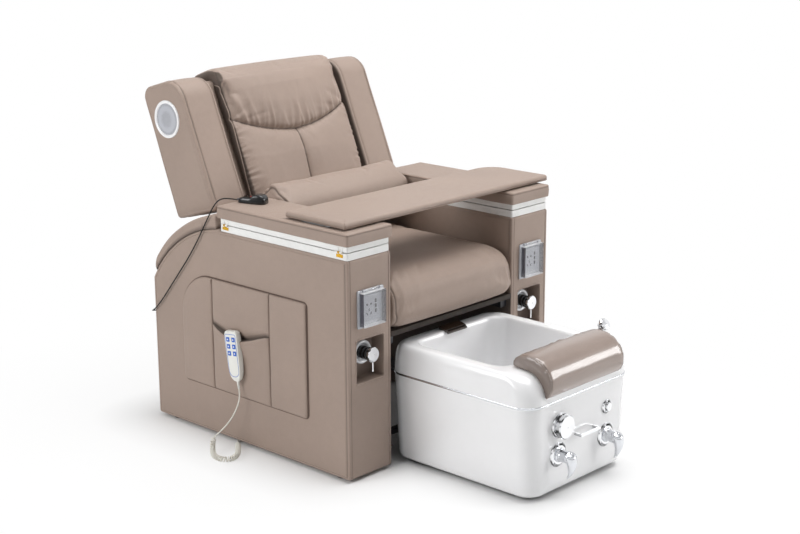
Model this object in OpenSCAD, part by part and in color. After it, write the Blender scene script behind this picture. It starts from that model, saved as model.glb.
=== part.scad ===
// Pedicure spa chair: two storage arms, a reclining back, a seat and a foot basin that pulls out.
// X runs across the chair, its front faces -Y and Z is up. z = 0 is the floor, y = 0 is the front
// face of the arms, and x = 0 is the plane midway between them. The right arm is modelled, and
// the left one is its mirror image.

/* [Arms] */
// Clear width between the two arms
seat_gap = 560; // [540:5:590]
// Width of one arm
arm_w = 180; // [172:2:200]
// Depth of an arm from its front to its back face
arm_depth = 888; // [880:2:900]
// Height of the arm body's flat top above the floor
arm_top = 679; // [672:1:686]
// Height of the feet under the arms
foot_h = 14; // [10:1:20]
// Radius of a foot
foot_r = 16; // [10:1:22]
// Thickness of the arm's boards with their foam and leather
arm_wall = 18; // [14:1:22]
// Radius of the arm's upright edges
arm_edge_r = 9; // [4:1:14]
// Radius of the curve over the arm's rear end
arc_r = 438; // [434:1:442]
// Thickness of the padded strip over that curve, at its front end
cap_t = 43; // [36:1:46]
// Thickness of the padded strip at its lower rear end
cap_end_t = 25; // [18:1:30]

/* [Storage boxes and lids] */
// Length of the storage box's rim and of the lid, from the arm's front
box_len = 552; // [530:2:556]
// Height of the white rim that shows above the arm body
rim_h = 21; // [16:1:26]
// Depth of the storage well below the arm body's top
well_depth = 150; // [110:5:170]
// Wall of the storage box
box_wall = 2.5; // [1.5:0.5:4]
// Groove between the rim and the lid
lid_groove = 3; // [2:0.5:5]
// Thickness of the white lid frame
lid_frame_h = 17; // [14:1:22]
// Thickness of the leather lid pad
lid_pad_h = 39; // [30:1:45]
// How far the lid pad stands over the arm's face
lid_over = 4; // [2:1:6]
// How far the rim and the lid frame lie inside the arm's face
rim_inset = 3; // [2:0.5:5]
// Length of a lid hinge
hinge_len = 26; // [20:1:34]
// Radius of a lid hinge's barrel
hinge_r = 3.2; // [2.6:0.1:3.6]

/* [Arm fronts] */
// Width of the recess for the mixer
niche_w = 113; // [104:1:120]
// Height of the recess
niche_h = 131; // [116:1:140]
// Height of the recess's floor above the ground
niche_z = 302; // [280:2:316]
// Depth of the recess
niche_d = 48; // [36:1:54]
// Height of the socket's centre above the ground
socket_z = 527; // [522:1:532]
// Side of the square socket insert
socket_size = 80; // [76:1:84]
// Width of the frame round the socket
frame_w = 108; // [104:1:114]
// Depth of the clear splash cover
cover_d = 17; // [13:1:22]
// Radius of the mixer handle's disc
mixer_r = 23; // [18:1:26]

/* [Work board] */
// Depth of the board, front to back
board_d = 249; // [220:1:260]
// Thickness of the board
board_t = 18; // [14:1:24]
// Distance from the arm's front to the board's front edge
board_y = 25; // [10:1:40]
// How far the board's left end stays inside the arm's outer face
board_left = 17; // [12:1:24]
// How far its right end reaches past the other arm's outer face
board_right = 34; // [10:1:40]
// Gap between the lid pads and the board
board_gap = 5; // [5:0.5:8]

/* [Side pads] */
// Distance from the arm's front to the pad
pad_y0 = 170; // [150:2:190]
// Length of the pad
pad_len = 570; // [550:2:590]
// Height of the pad's lower edge
pad_z0 = 162; // [140:2:180]
// Height of the pad itself
pad_h = 361; // [340:1:380]
// Thickness of the pad at its edge
pad_t = 8; // [6:1:10]
// Extra thickness in the middle of each field
pad_crown = 5; // [3:1:7]

/* [Backrest] */
// Lean of the back from upright, in degrees
lean = 23.3; // [22:0.1:24.5]
// Length of the back from its datum line to its top edge
back_len = 408; // [390:2:425]
// Thickness of the side wings
wing_t = 182; // [170:2:190]
// Width of one side wing
wing_w = 132; // [120:2:140]
// Distance from the recline axis up to the back's datum line
back_rise = 495; // [490:1:500]
// Distance from the front line of the back to the recline axis, square to the back
back_axis_in = 79; // [75:1:83]
// Largest recline from the upright position, in degrees
recline_max = 30; // [20:1:32]
// Width of the centre cushion
cushion_w = 512; // [490:2:520]
// Thickness of the centre cushion
cushion_t = 42; // [34:1:48]
// Bulge of the centre cushion's fields
cushion_crown = 10; // [6:1:12]
// Radius of a speaker's ring
speaker_r = 60.5; // [50:0.5:66]
// Length of the lumbar pillow
pillow_len = 544; // [500:4:550]

/* [Seat] */
// Height of the seat cushion's top edge above the floor
seat_top = 592; // [580:1:598]
// Height of the seat board's underside
deck_z = 415; // [405:1:425]
// Thickness of the seat board
deck_t = 15; // [10:1:20]
// How far the seat cushion stands in front of the arms
seat_front = 26; // [10:1:32]
// Gap between the seat cushion and each arm
seat_side_gap = 1; // [0.5:0.5:3]

/* [Foot basin] */
// Half width of the basin at its trim line
basin_hw = 246; // [236:1:250]
// Length of the basin, front to back
basin_len = 548; // [530:2:560]
// Height of the basin's rim
basin_h = 380; // [360:2:384]
// Height of the trim line between the basin and its skirt
trim_z = 287; // [260:1:300]
// Height of the trim
trim_h = 6; // [4:1:8]
// Width of the foot opening
mouth_w = 400; // [370:2:410]
// Length of the foot opening
mouth_len = 363; // [330:2:370]
// Height of the basin's floor
floor_z = 88; // [84:1:110]
// Wall of the basin and its skirt
basin_wall = 5; // [4:0.5:7]
// How far the basin slides in under the seat
basin_travel = 250; // [200:5:260]
// Radius of the upright corners of the basin
basin_r = 58; // [50:1:72]
// Half length of the calf pad
calf_hl = 178; // [150:2:182]
// Thickness of the calf pad
calf_t = 52; // [44:1:56]
// Radius of the castor wheels
wheel_r = 20; // [17:1:22]
// Width of a castor wheel
wheel_w = 14; // [10:1:16]

/* [Basin fittings] */
// Radius of the round knob
knob_r = 36; // [30:1:38]
// Radius of a tap's rose
rose_r = 37; // [30:1:39]
// Reach of a tap lever below its axis
lever_len = 67; // [55:1:76]
// Radius of the push button
button_r = 14; // [11:0.5:15]
// Travel of the push button
button_travel = 3; // [2:0.5:4]
// Width of the pull handle
pull_w = 96; // [80:2:104]
// Width of the waterfall spout
spout_w = 92; // [70:2:110]

/* [Base and drive] */
// Width of the seat rails and of the frame's tubes
tube_w = 28; // [24:1:30]
// Height of the seat rails
rail_h = 30; // [24:1:34]
// Radius of the torque tube under the back
torque_r = 16; // [14:0.5:18]
// Radius of the recline pivot pins
pivot_r = 12; // [10:0.5:13]
// Length of the crank on the torque tube
crank_len = 120; // [100:1:125]
// Radius of the actuator's rod
rod_r = 9; // [7:0.5:9]
// Radial running clearance of pins and shafts
run = 0.05; // [0.02:0.01:0.1]

/* [Handsets and cords] */
// Length of the white handset
handset_len = 164; // [150:1:170]
// Width of the white handset
handset_w = 52; // [48:1:58]
// Thickness of the white handset
handset_t = 22; // [18:1:26]
// Diameter of the white cord
cord_d = 4.4; // [4:0.1:5]
// Outer radius of the curly part's centre line
curl_r = 6.8; // [6:0.1:7]
// Length of one curl along the cord
curl_pitch = 9.2; // [8.6:0.1:10]
// Diameter of the black cord
black_d = 4; // [3.5:0.1:4.5]

/* [Hidden] */
$fn = 64;

leather = "#a99787";
leather_dark = "#8f7d6f";
white = "#f4f4f2";
chrome = "#cfd3d6";
brass = "#d0a447";
steel = "#3a3c40";
seat_c = 0.3; // clearance where a piece only rests on another

side_in = seat_gap / 2;
side_out = side_in + arm_w;
arm_mid = (side_in + side_out) / 2;
arc_y = arm_depth - 376; // the rear arc's centre moves with the arm's rear face
arc_rise = 7;
arc_z = arm_top + arc_rise - arc_r;
well_y0 = 62;
well_y1 = box_len - 24;
well_z = arm_top - well_depth;
rim_top = arm_top + rim_h;
lid_z = rim_top + lid_groove;
lid_pad_z = lid_z + lid_frame_h;
lid_top = lid_pad_z + lid_pad_h;
hinge_x = side_out - rim_inset + hinge_r + 0.2;
hinge_z = rim_top + lid_groove / 2;
hinge_ys = [33, box_len - 25];
leaf_t = 1.2;

// The recline axis, and the back's own frame: u runs up the back's front line, v into the back.
pivot_y = arc_y - 4;
pivot_z = arc_z + 14;
datum = [pivot_y, pivot_z] + back_rise * [sin(lean), cos(lean)] - back_axis_in * [cos(lean), -sin(lean)];
function back_point(p) = datum + p.x * [sin(lean), cos(lean)] + p.y * [cos(lean), -sin(lean)];

// The centre cushion's front line and the radius at which it bends over the back's top edge.
path_v = -14;
wrap_r = 60;

valve_z = niche_z + 81;
board_z = lid_top + board_gap;
board_corners = [6, 12, 72, 6];
seat_z = deck_z + deck_t + seat_c;
rail_in = side_in - tube_w;
rail_z = deck_z - rail_h;
slot_half = crank_len * (1 - cos(recline_max / 2)) / 2;
crank_z = pivot_z - crank_len * (1 + cos(recline_max / 2)) / 2;
crank_a = 180 - recline_max / 2;
crank_pin = [pivot_y + crank_len * sin(crank_a), pivot_z + crank_len * cos(crank_a)];
pin_r = 6;
yoke_w = 19;

basin_y0 = -497;
basin_y1 = basin_y0 + basin_len;
basin_z = trim_z + trim_h;
rise = basin_h - basin_z;
rear_rim = 54;
mouth_y1 = basin_y1 - rear_rim;
mouth_y0 = mouth_y1 - mouth_len;
shoulder = 97;
drain_y = (mouth_y0 + mouth_y1) / 2;
spout_y1 = mouth_y1 + 22;
knob_at = [-103.5, 214];
tap_left = [-111, 127];
tap_right = [118, 124];
button_at = [120, 212];
pull_mid = 13.5;
pull_z = 167;
shower_at = [calf_hl + 36, basin_y0 + 94];
wheel_x = basin_hw - 78;
skirt_z = wheel_r - 7;
wheel_ys = [basin_y0 + 72, basin_y1 - 61];
runner_z = 80;

handset_at = [-(side_out + pad_t + pad_crown + 2.5 + handset_t / 2), 467, 298.1];
handset_tilt = -7.6;
key_size = [8.4, 9.4];
key_depth = 3;
key_travel = 0.8;
key_out = 1.5;
lip_z = 352;

// The cords' routes. The white one goes into the arm's underside and the black one into its rear face.
white_end = [-444, 515];
black_end = [-440, 353];
white_route = [[-486.5, 453.5, 197], [-486.5, 452.3, 188], [-487.5, 451, 177], [-491, 451, 160],
    [-497, 457, 135], [-506, 467, 108], [-518, 480, 83], [-531, 493, 63], [-541, 503, 50]];
curl_route = [[-541, 503, 50], [-548, 509, 40], [-561, 500, 26], [-578, 480, 12], [-592, 458, 9.3],
    [-600, 434, 9.3], [-596, 410, 9.3], [-578, 397, 9.3], [-556, 400, 9.3], [-537, 412, 9.3],
    [-519, 430, 9.3], [-501, 450, 9.3], [-484, 470, 9.3], [-472, 484, 7.5], [-462, 496, 4.5],
    [-453, 506, 4], [-447, 512, 5.5], [white_end.x, white_end.y, 10], [white_end.x, white_end.y, 15]];
// [x, distance behind the storage box, z], then [x, distance behind the arm's rear face, z]
black_lid_route = [[-384.1, 0.25, 765], [-387, 8, 765.5], [-395, 19, 767], [-409, 28, 769],
    [-427, 31, 768], [-446, 29, 761], [-461, 31, 744], [-467, 42, 720]];
black_arm_route = [[-467, -275, 692], [-467, -248, 651], [-467, -216, 606], [-467, -180, 560],
    [-467, -140, 513], [-467, -98, 464], [-467, -56, 415], [-467, -22, 380], [-466, -2, 364],
    [-461, 12, 357], [-451, 18, 354], [-442, 14, 353], [black_end.x, 4, black_end.y]];
black_route = concat([for (p = black_lid_route) [p.x, box_len + p.y, p.z]],
    [for (p = black_arm_route) [p.x, arm_depth + p.y, p.z]]);

// ---------------------------------------------------------------- points and skins

function unit(v) = v / norm(v);
function total(list) = list * [for (x = list) 1];
function mean(points) = [for (k = [0:len(points[0]) - 1]) total([for (p = points) p[k]]) / len(points)];
function lift(outline, z) = [for (p = outline) [p.x, p.y, z]];
function across(outline, x) = [for (p = outline) [x, p.x, p.y]];
function pow0(x, e) = x <= 0 ? 0 : pow(x, e);

// A polygon's corner, rounded by n chords.
function round_corner(p, a, b, r, n) = r <= 0 ? [p] : let (
    u = unit(a - p),
    v = unit(b - p),
    half = acos(u * v) / 2,
    c = p + unit(u + v) * r / sin(half),
    from = p + u * r / tan(half) - c,
    to = p + v * r / tan(half) - c)
    [for (k = [0:n]) c + r * unit(from * (n - k) + to * k)];

// A polygon given as [x, y, radius] corners.
function rounded(q, n = 4) = [for (i = [0:len(q) - 1]) let (
    m = len(q),
    p = q[i],
    a = q[(i + m - 1) % m],
    b = q[(i + 1) % m])
    each round_corner([p.x, p.y], [a.x, a.y], [b.x, b.y], p[2], n)];

function box_plan(x0, x1, y0, y1, r, n = 4) =
    rounded([[x0, y0, r], [x1, y0, r], [x1, y1, r], [x0, y1, r]], n);

function signed_volume(faces, p) = total([for (f = faces) p[f[0]] * cross(p[f[1]], p[f[2]])]);

// A closed solid through rings of equally many points; its ends are closed, or joined in a loop.
module skin(rings, loop = false) {
    n = len(rings[0]);
    m = len(rings);
    ring_points = [for (r = rings) each r];
    points = loop ? ring_points : concat(ring_points, [mean(rings[0]), mean(rings[m - 1])]);
    wall = [for (i = [0:m - (loop ? 1 : 2)], j = [0:n - 1]) let (
        a = i * n + j,
        b = i * n + (j + 1) % n,
        c = (i + 1) % m * n + j,
        d = (i + 1) % m * n + (j + 1) % n)
        each [[a, b, d], [a, d, c]]];
    ends = loop ? [] : [for (j = [0:n - 1]) each [
        [(j + 1) % n, j, m * n],
        [(m - 1) * n + j, (m - 1) * n + (j + 1) % n, m * n + 1]]];
    faces = concat(wall, ends);
    outward = signed_volume(faces, points) < 0;
    polyhedron(points, outward ? faces : [for (f = faces) [f[2], f[1], f[0]]]);
}

// A smooth curve through points, with k steps from one to the next.
function spline(p, k) = concat([for (i = [0:len(p) - 2], j = [0:k - 1]) let (
    a = p[max(i - 1, 0)],
    b = p[i],
    c = p[i + 1],
    d = p[min(i + 2, len(p) - 1)],
    t = j / k)
    b + t / 2 * (c - a) + t * t * (a - 2.5 * b + 2 * c - d / 2)
        + t * t * t * (1.5 * b - 1.5 * c + (d - a) / 2)], [p[len(p) - 1]]);

function tangents(p) = [for (i = [0:len(p) - 1]) unit(p[min(i + 1, len(p) - 1)] - p[max(i - 1, 0)])];

// A round cord along points; first is the direction of its first ring's first corner.
module cord(p, d, sides, first) {
    t = tangents(p);
    normals = [for (i = 0, n = unit(first - (first * t[0]) * t[0]); i < len(p);
        i = i + 1, n = let (s = t[min(i, len(p) - 1)]) unit(n - (n * s) * s)) n];
    skin([for (i = [0:len(p) - 1]) [for (j = [0:sides - 1]) let (a = 360 * j / sides)
        p[i] + d / 2 * (cos(a) * normals[i] + sin(a) * cross(t[i], normals[i]))]]);
}

// ---------------------------------------------------------------- plain shapes

module along_x(x0, x1) translate([x0, 0, 0]) rotate([90, 0, 90]) linear_extrude(x1 - x0) children();

module along_y(y0, y1) translate([0, y1, 0]) rotate([90, 0, 0]) linear_extrude(y1 - y0) children();

module rod_x(x0, x1, y, z, r) along_x(x0, x1) translate([y, z]) circle(r);

module rod_y(y0, y1, x, z, r) along_y(y0, y1) translate([x, z]) circle(r);

module block(x0, x1, y0, y1, z0, z1) translate([x0, y0, z0]) cube([x1 - x0, y1 - y0, z1 - z0]);

module round_square(x0, x1, y0, y1, r) {
    translate([x0 + r, y0]) square([x1 - x0 - 2 * r, y1 - y0]);
    translate([x0, y0 + r]) square([x1 - x0, y1 - y0 - 2 * r]);
    for (x = [x0 + r, x1 - r], y = [y0 + r, y1 - r]) translate([x, y]) circle(r);
}

module left() mirror([1, 0, 0]) children();

module both() {
    children();
    left() children();
}

// ---------------------------------------------------------------- arms

// The arm from the side. It reaches past the front and rear faces, which its plan then cuts.
over = 10;
module arm_outline() intersection() {
    translate([-over, foot_h]) square([arm_depth + 2 * over, arm_top]);
    union() {
        translate([-over, 0]) square([box_len + over, arm_top]);
        intersection() {
            translate([arc_y, arc_z]) circle(arc_r, $fn = 180);
            translate([box_len, 0]) square([arm_depth, arm_top + arc_rise]);
        }
        square([arm_depth + over, arc_z]);
    }
}

module niche_shape(grow) round_square(arm_mid - niche_w / 2 - grow, arm_mid + niche_w / 2 + grow,
    niche_z - grow, niche_z + niche_h + grow, 6);

module arm_body() difference() {
    intersection() {
        along_x(side_in, side_out) arm_outline();
        linear_extrude(arm_top + arc_rise + 1) round_square(side_in, side_out, 0, arm_depth, arm_edge_r);
    }
    block(side_in + arm_wall, side_out - arm_wall, well_y0, well_y1, well_z, arm_top + 1);
    difference() {
        union() {
            block(side_in + arm_wall, side_out - arm_wall, arm_wall, arm_depth - arm_wall,
                foot_h + arm_wall, arc_z + 190);
            block(side_in + arm_wall, side_out - arm_wall, well_y0, arc_y + 280, arc_z,
                well_z - arm_wall);
        }
        along_y(arm_wall / 2, niche_d + 8) niche_shape(8);
    }
    along_y(-1, niche_d) niche_shape(0);
    block(arm_mid - 32, arm_mid + 32, -1, 44, socket_z - 32, socket_z + 32);
    rod_y(niche_d - 1, niche_d + 9, arm_mid, valve_z, 10 + seat_c);
}

module arm_body_right() color(leather) arm_body();

module arm_body_left() color(leather) difference() {
    left() arm_body();
    translate([white_end.x, white_end.y, foot_h - 1]) cylinder(r = 5, h = arm_wall + 2);
    rod_y(arm_depth - arm_wall - 1, arm_depth + 1, black_end.x, black_end.y, 6);
}

module feet() color("#202020") both() for (x = [arm_mid - 58, arm_mid + 58], y = [60, arm_depth - 66])
    translate([x, y, 0]) cylinder(r = foot_r, h = foot_h);

// Top edge of the side pad: a corner of large radius at the rear.
pad_corner = 135;
function pad_top(y) = let (c = pad_y0 + pad_len - pad_corner)
    pad_z0 + pad_h - (y <= c ? 0 : pad_corner - sqrt(max(pad_corner * pad_corner - pow(y - c, 2), 0)));
seam_a = pad_y0 + 160;
seam_b = pad_y0 + 422;
pad_stations = [0, 3, 14, 60, 110, seam_a - pad_y0 - 9, seam_a - pad_y0, seam_a - pad_y0 + 9, 220,
    290, 360,
    seam_b - pad_y0 - 9, seam_b - pad_y0, seam_b - pad_y0 + 9, pad_len - 105, pad_len - 60, pad_len - 28,
    pad_len - 8, pad_len - 2];
function seam_dip(y) = 3.5 * (exp(-pow((y - seam_a) / 7, 2)) + exp(-pow((y - seam_b) / 7, 2)));
function field_mid(y) = y < seam_a ? [pad_y0, seam_a] : y < seam_b ? [seam_a, seam_b] : [seam_b,
    pad_y0 + pad_len];
function field_share(y) = let (f = field_mid(y)) sin(180 * (y - f.x) / (f.y - f.x));
function edge_drop(d) = d >= 12 ? 0 : (pad_t - 3) * pow(1 - d / 12, 2.4);

module side_pad() difference() {
    skin([for (s = pad_stations) let (
        y = pad_y0 + s,
        low = pad_z0 + edge_drop(min(s, pad_len - s)) * 0.6,
        high = pad_top(y) - (s < 1 ? 4 : 0),
        h = high - low,
        end = edge_drop(min(s, pad_len - s)))
        concat([[side_out + seat_c, y, high], [side_out + seat_c, y, low]],
            [for (k = [0, 0.02, 0.06, 0.2, 0.45, 0.7, 0.92, 0.98, 1]) [side_out + pad_t - seam_dip(y)
                + pad_crown * field_share(y) * sin(180 * k) - max(end, edge_drop(min(k, 1 - k) * h)),
                y, low + k * h]])]);
    // the pocket behind the lip, and its mouth
    block(side_out + 3, side_out + 8, seam_a + 14, seam_b - 14, pad_z0 + 90, lip_z + 26);
    along_x(side_out + 3, side_out + 30) polygon([[seam_a + 14, lip_z + 31], [seam_a + 110, lip_z],
        [seam_b - 98, lip_z], [seam_b - 14, lip_z + 23], [seam_b - 14, lip_z + 26],
        [seam_a + 120, lip_z + 12], [seam_a + 14, lip_z + 34]]);
}

module side_pads() color(leather) both() side_pad();

// The padded strip over the curved rear end, in steps of its angle from the vertical.
cap_a0 = asin((box_len + 15 - arc_y) / (arc_r + seat_c)); // just behind the lid
cap_a1 = 55;
cap_steps = [0, 0.01, each [for (i = [1:11]) i / 12], 0.97, 1];
module arm_cap() skin([for (k = cap_steps) let (
    a = cap_a0 + (cap_a1 - cap_a0) * k,
    t = (cap_t + (cap_end_t - cap_t) * k) * (k > 0.9 ? sqrt(1.02 - pow((k - 0.9) / 0.1, 2)) : 1),
    e = k < 0.005 ? 2.5 : 0)
    [for (q = rounded([[side_in + e, 0, 0], [side_in + e, t - e, 9], [side_out + 1.5 - e, t - e, 9],
        [side_out + 1.5 - e, 0, 0]], 3))
        [q.x, arc_y + (arc_r + seat_c + q.y) * sin(a), arc_z + (arc_r + seat_c + q.y) * cos(a)]]]);

module arm_caps() color(leather) both() arm_cap();

// ---------------------------------------------------------------- storage boxes, lids, hinges

module rim_plan() round_square(side_in + rim_inset, side_out - rim_inset, rim_inset, box_len, 6);

module storage_box() difference() {
    union() {
        translate([0, 0, arm_top]) linear_extrude(rim_h) rim_plan();
        block(side_in + arm_wall + seat_c, side_out - arm_wall - seat_c, well_y0 + seat_c,
            well_y1 - seat_c, well_z + seat_c, arm_top + 1);
    }
    block(side_in + arm_wall + seat_c + box_wall, side_out - arm_wall - seat_c - box_wall,
        well_y0 + seat_c + box_wall, well_y1 - seat_c - box_wall, well_z + seat_c + box_wall,
            rim_top + 1);
}

module storage_boxes() color(white) both() storage_box();

// A hinge's knuckle between two places along it, with its leaf on the rim or on the lid frame.
module knuckle(y, a, b, z0, z1, bore) difference() {
    union() {
        rod_y(y + a, y + b, hinge_x, hinge_z, hinge_r);
        block(hinge_x - hinge_r - 0.2, hinge_x - hinge_r + leaf_t, y + a, y + b, z0, z1);
    }
    rod_y(y + a - 1, y + b + 1, hinge_x, hinge_z, bore);
}

module fixed_hinge(y) {
    knuckle(y, -hinge_len / 6, hinge_len / 6, rim_top - 12, hinge_z, 1.5);
    block(hinge_x - hinge_r - 0.2, hinge_x - hinge_r + leaf_t, y - hinge_len / 2, y + hinge_len / 2,
        rim_top - 14, rim_top - 5);
    rod_y(y - hinge_len / 2, y + hinge_len / 2, hinge_x, hinge_z, 1.5);
}

module box_hinges() color(brass) both() for (y = hinge_ys) fixed_hinge(y);

module lid_frame() {
    translate([0, 0, lid_z]) linear_extrude(lid_frame_h) rim_plan();
    for (y = hinge_ys, s = [-1, 1]) knuckle(y, s > 0 ? hinge_len / 6 + 0.3 : -hinge_len / 2,
        s > 0 ? hinge_len / 2 : -hinge_len / 6 - 0.3, hinge_z, lid_z + 12, 1.5 + run);
}

swivel_x = -(side_out - 60);
swivel_y = board_y + board_d / 2;
swivel_r = 8;

module lid_frame_right() color(white) lid_frame();

module lid_frame_left() color(white) difference() {
    left() lid_frame();
    translate([swivel_x, swivel_y, lid_z + 4]) cylinder(r = swivel_r + run, h = lid_frame_h);
}

// A padded board with a flat underside, rounded edges and a slightly crowned top.
module padded_board(x0, x1, y0, y1, radii, z0, z1, crown, n) {
    steps = [[1.5, z0], [0, z0 + 2.5], [0, z1 - 8], [1.4, z1 - 3.5], [4.5, z1 - 0.8], [12, z1],
        [(y1 - y0) / 4, z1 + crown]];
    skin([for (s = steps) let (d = s.x) lift(rounded([
        [x0 + d, y0 + d, max(radii[0] - d, 0.8)], [x1 - d, y0 + d, max(radii[1] - d, 0.8)],
        [x1 - d, y1 - d, max(radii[2] - d, 0.8)], [x0 + d, y1 - d, max(radii[3] - d, 0.8)]], n), s.y)]);
}

module lid_pad() {
    steps = [[2, 0], [0, 3], [0, lid_pad_h - 9], [1.6, lid_pad_h - 4], [5, lid_pad_h - 1.4],
        [12, lid_pad_h - 0.6], [34, lid_pad_h]];
    skin([for (s = steps) lift(box_plan(side_in - lid_over + s.x, side_out + lid_over - s.x,
        -lid_over + s.x, box_len + 9 - s.x, max(9 - s.x, 1), 3), lid_pad_z + s.y)]);
}

module lid_pad_right() color(leather) lid_pad();

module lid_pad_left() color(leather) difference() {
    left() lid_pad();
    translate([swivel_x, swivel_y, lid_pad_z - 1]) cylinder(r = swivel_r + run, h = lid_pad_h + 2);
}

// ---------------------------------------------------------------- work board

flip_x = -(side_out - board_left) + 7;
flip_r = 2.2;
flip_z = lid_top + seat_c + flip_r;

module work_board() {
    color(leather) padded_board(-(side_out - board_left), side_out + board_right, board_y,
        board_y + board_d,
        board_corners, board_z, board_z + board_t, 0, 5);
    color(steel) difference() {
        union() {
            block(flip_x - flip_r, flip_x + 40, swivel_y - 60, swivel_y + 60, board_z - 1.6, board_z);
            rod_y(swivel_y - 60, swivel_y + 60, flip_x, flip_z, flip_r);
        }
        block(flip_x - flip_r - 1, flip_x + 41, swivel_y - 30.3, swivel_y + 30.3, board_z - 9,
            board_z + 1);
        rod_y(swivel_y - 61, swivel_y + 61, flip_x, flip_z, 1 + run);
    }
    color("#303030") for (y = [swivel_y - 60, swivel_y + 60])
        translate([arm_mid, y, lid_top + seat_c]) cylinder(r = 10, h = board_gap - seat_c);
}

module board_bracket() color(steel) {
    difference() {
        union() {
            block(flip_x, swivel_x + 24, swivel_y - 30, swivel_y + 30, lid_top + seat_c,
                lid_top + seat_c + 1.6);
            rod_y(swivel_y - 30, swivel_y + 30, flip_x, flip_z, flip_r);
        }
        rod_y(swivel_y - 31, swivel_y + 31, flip_x, flip_z, 1);
    }
    rod_y(swivel_y - 60, swivel_y + 60, flip_x, flip_z, 1);
    translate([swivel_x, swivel_y, lid_z + 4 + seat_c])
        cylinder(r = swivel_r, h = lid_top - lid_z - 4);
}

// ---------------------------------------------------------------- arm fronts

cover_w = frame_w - 14;
cover_h = cover_w + 10;
frame_h = cover_h + 10;
frame_t = 5;
ear_r = 3;
ear_y = -frame_t - seat_c - ear_r;
ear_z = socket_z + frame_h / 2 - 1;

module socket_frame() difference() {
    union() {
        along_y(-frame_t, 0) round_square(arm_mid - frame_w / 2, arm_mid + frame_w / 2,
            socket_z - frame_h / 2, socket_z + frame_h / 2, 5);
        for (s = [-1, 1]) translate([arm_mid + s * 34, 0, 0])
            block(-4, 4, ear_y - ear_r, -frame_t / 2, ear_z - ear_r, ear_z + ear_r);
    }
    along_y(-6, 1) round_square(arm_mid - socket_size / 2, arm_mid + socket_size / 2,
        socket_z - socket_size / 2, socket_z + socket_size / 2, 3);
}

// Slots of a two-gang outlet: a pair of round holes over a three-blade group, and two small ports.
module socket_insert() difference() {
    union() {
        along_y(-9, -0.5) round_square(arm_mid - socket_size / 2, arm_mid + socket_size / 2,
            socket_z - socket_size / 2, socket_z + socket_size / 2, 3);
        block(arm_mid - 30, arm_mid + 30, -1, 42, socket_z - 30, socket_z + 30);
    }
    for (s = [-1, 1]) rod_y(-10, 3, arm_mid - 12 + s * 8, socket_z + 12, 2.4);
    translate([arm_mid - 12, 0, socket_z - 8]) block(-1.2, 1.2, -10, 3, 0, 7);
    for (s = [-1, 1]) translate([arm_mid - 12 + s * 8, 0, socket_z - 16]) rotate([0, -s * 30, 0])
        block(-1.2, 1.2, -10, 3, -3.5, 3.5);
    for (z = [-14, 2]) block(arm_mid + 12, arm_mid + 18, -10, 3, socket_z + z, socket_z + z + 12);
}

module sockets() both() {
    color("#c9ccd0") socket_frame();
    color("#b9bcc0") socket_insert();
    color(steel) rod_x(arm_mid - 38, arm_mid + 38, ear_y, ear_z, 1.5);
}

module splash_cover() difference() {
    union() {
        difference() {
            along_y(-frame_t - seat_c - cover_d, -frame_t - seat_c) round_square(arm_mid - cover_w / 2,
                arm_mid + cover_w / 2, socket_z - cover_h / 2, ear_z - 1.5 * ear_r, 5);
            along_y(-frame_t - seat_c - cover_d + 2, 0) round_square(arm_mid - cover_w / 2 + 2,
                arm_mid + cover_w / 2 - 2, socket_z - cover_h / 2 + 2, ear_z - 1.5 * ear_r - 2, 4);
        }
        block(arm_mid - 28, arm_mid + 28, ear_y - ear_r, ear_y, ear_z - 2.5 * ear_r, ear_z);
        rod_x(arm_mid - 28, arm_mid + 28, ear_y, ear_z, ear_r);
    }
    rod_x(arm_mid - 29, arm_mid + 29, ear_y, ear_z, 1.5 + run);
}

module splash_cover_right() color("#d5dbe0", 0.5) splash_cover();

module splash_cover_left() color("#d5dbe0", 0.5) left() splash_cover();

spindle_r = 5;

module mixer_body() translate([arm_mid, 0, valve_z]) rotate([90, 0, 0]) {
    color(chrome) translate([0, 0, -niche_d]) rotate_extrude() polygon([[0, 0], [26, 0], [26, 2],
        [23, 5], [17, 7], [0, 7]]);
    color("#2c2a2a") translate([0, 0, -niche_d + 7]) cylinder(r = 17, h = niche_d - 7);
    color(steel) cylinder(r = spindle_r, h = 12);
    color(steel) translate([0, 0, -niche_d - 40]) cylinder(r = 10, h = 40);
}

module mixer_bodies() both() mixer_body();

module mixer_handle() color(chrome) translate([arm_mid, 0, valve_z]) rotate([90, 0, 0]) difference() {
    union() {
        translate([0, 0, seat_c]) rotate_extrude() polygon([[0, 0], [mixer_r - 8, 0], [mixer_r - 4, 4],
            [mixer_r, 6], [mixer_r, 13], [mixer_r - 2, 15], [0, 16]]);
        translate([0, 0, 10]) rotate([90, 0, 0]) cylinder(r = 2.6, h = 52);
    }
    translate([0, 0, -1]) cylinder(r = spindle_r + run, h = 13.5);
}

module mixer_handle_right() mixer_handle();

module mixer_handle_left() left() mixer_handle();

// ---------------------------------------------------------------- seat and frame

module seat_board() color("#b08d62") block(-side_in + 0.5, side_in - 0.5, 0, deck_back, deck_z,
    deck_z + deck_t);

// The shell's front line passes the seat board's level here.
deck_back = back_point([(deck_z - datum.y) / cos(lean), 30]).x - 8;
seat_crown = 6;

function seat_ring(x) = let (
    e = abs(x) / (side_in - seat_side_gap),
    d = 14 * pow(e, 14),
    c = seat_crown * (1 - e * e),
    back = back_point([(seat_z - datum.y) / cos(lean), 30]).x - 14,
    front = -seat_front + 6 * pow(e, 6))
    across(rounded([[back, seat_z + d * 0.5, 5], [back + 36, seat_top - 70, 30], [pivot_y + 46 - d,
        seat_top - d, 14],
        [170, seat_top + c - d, 160], [front + d, seat_top - 8 - d, 66], [front + d,
            seat_z + d * 0.5, 40]], 5), x);

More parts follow.
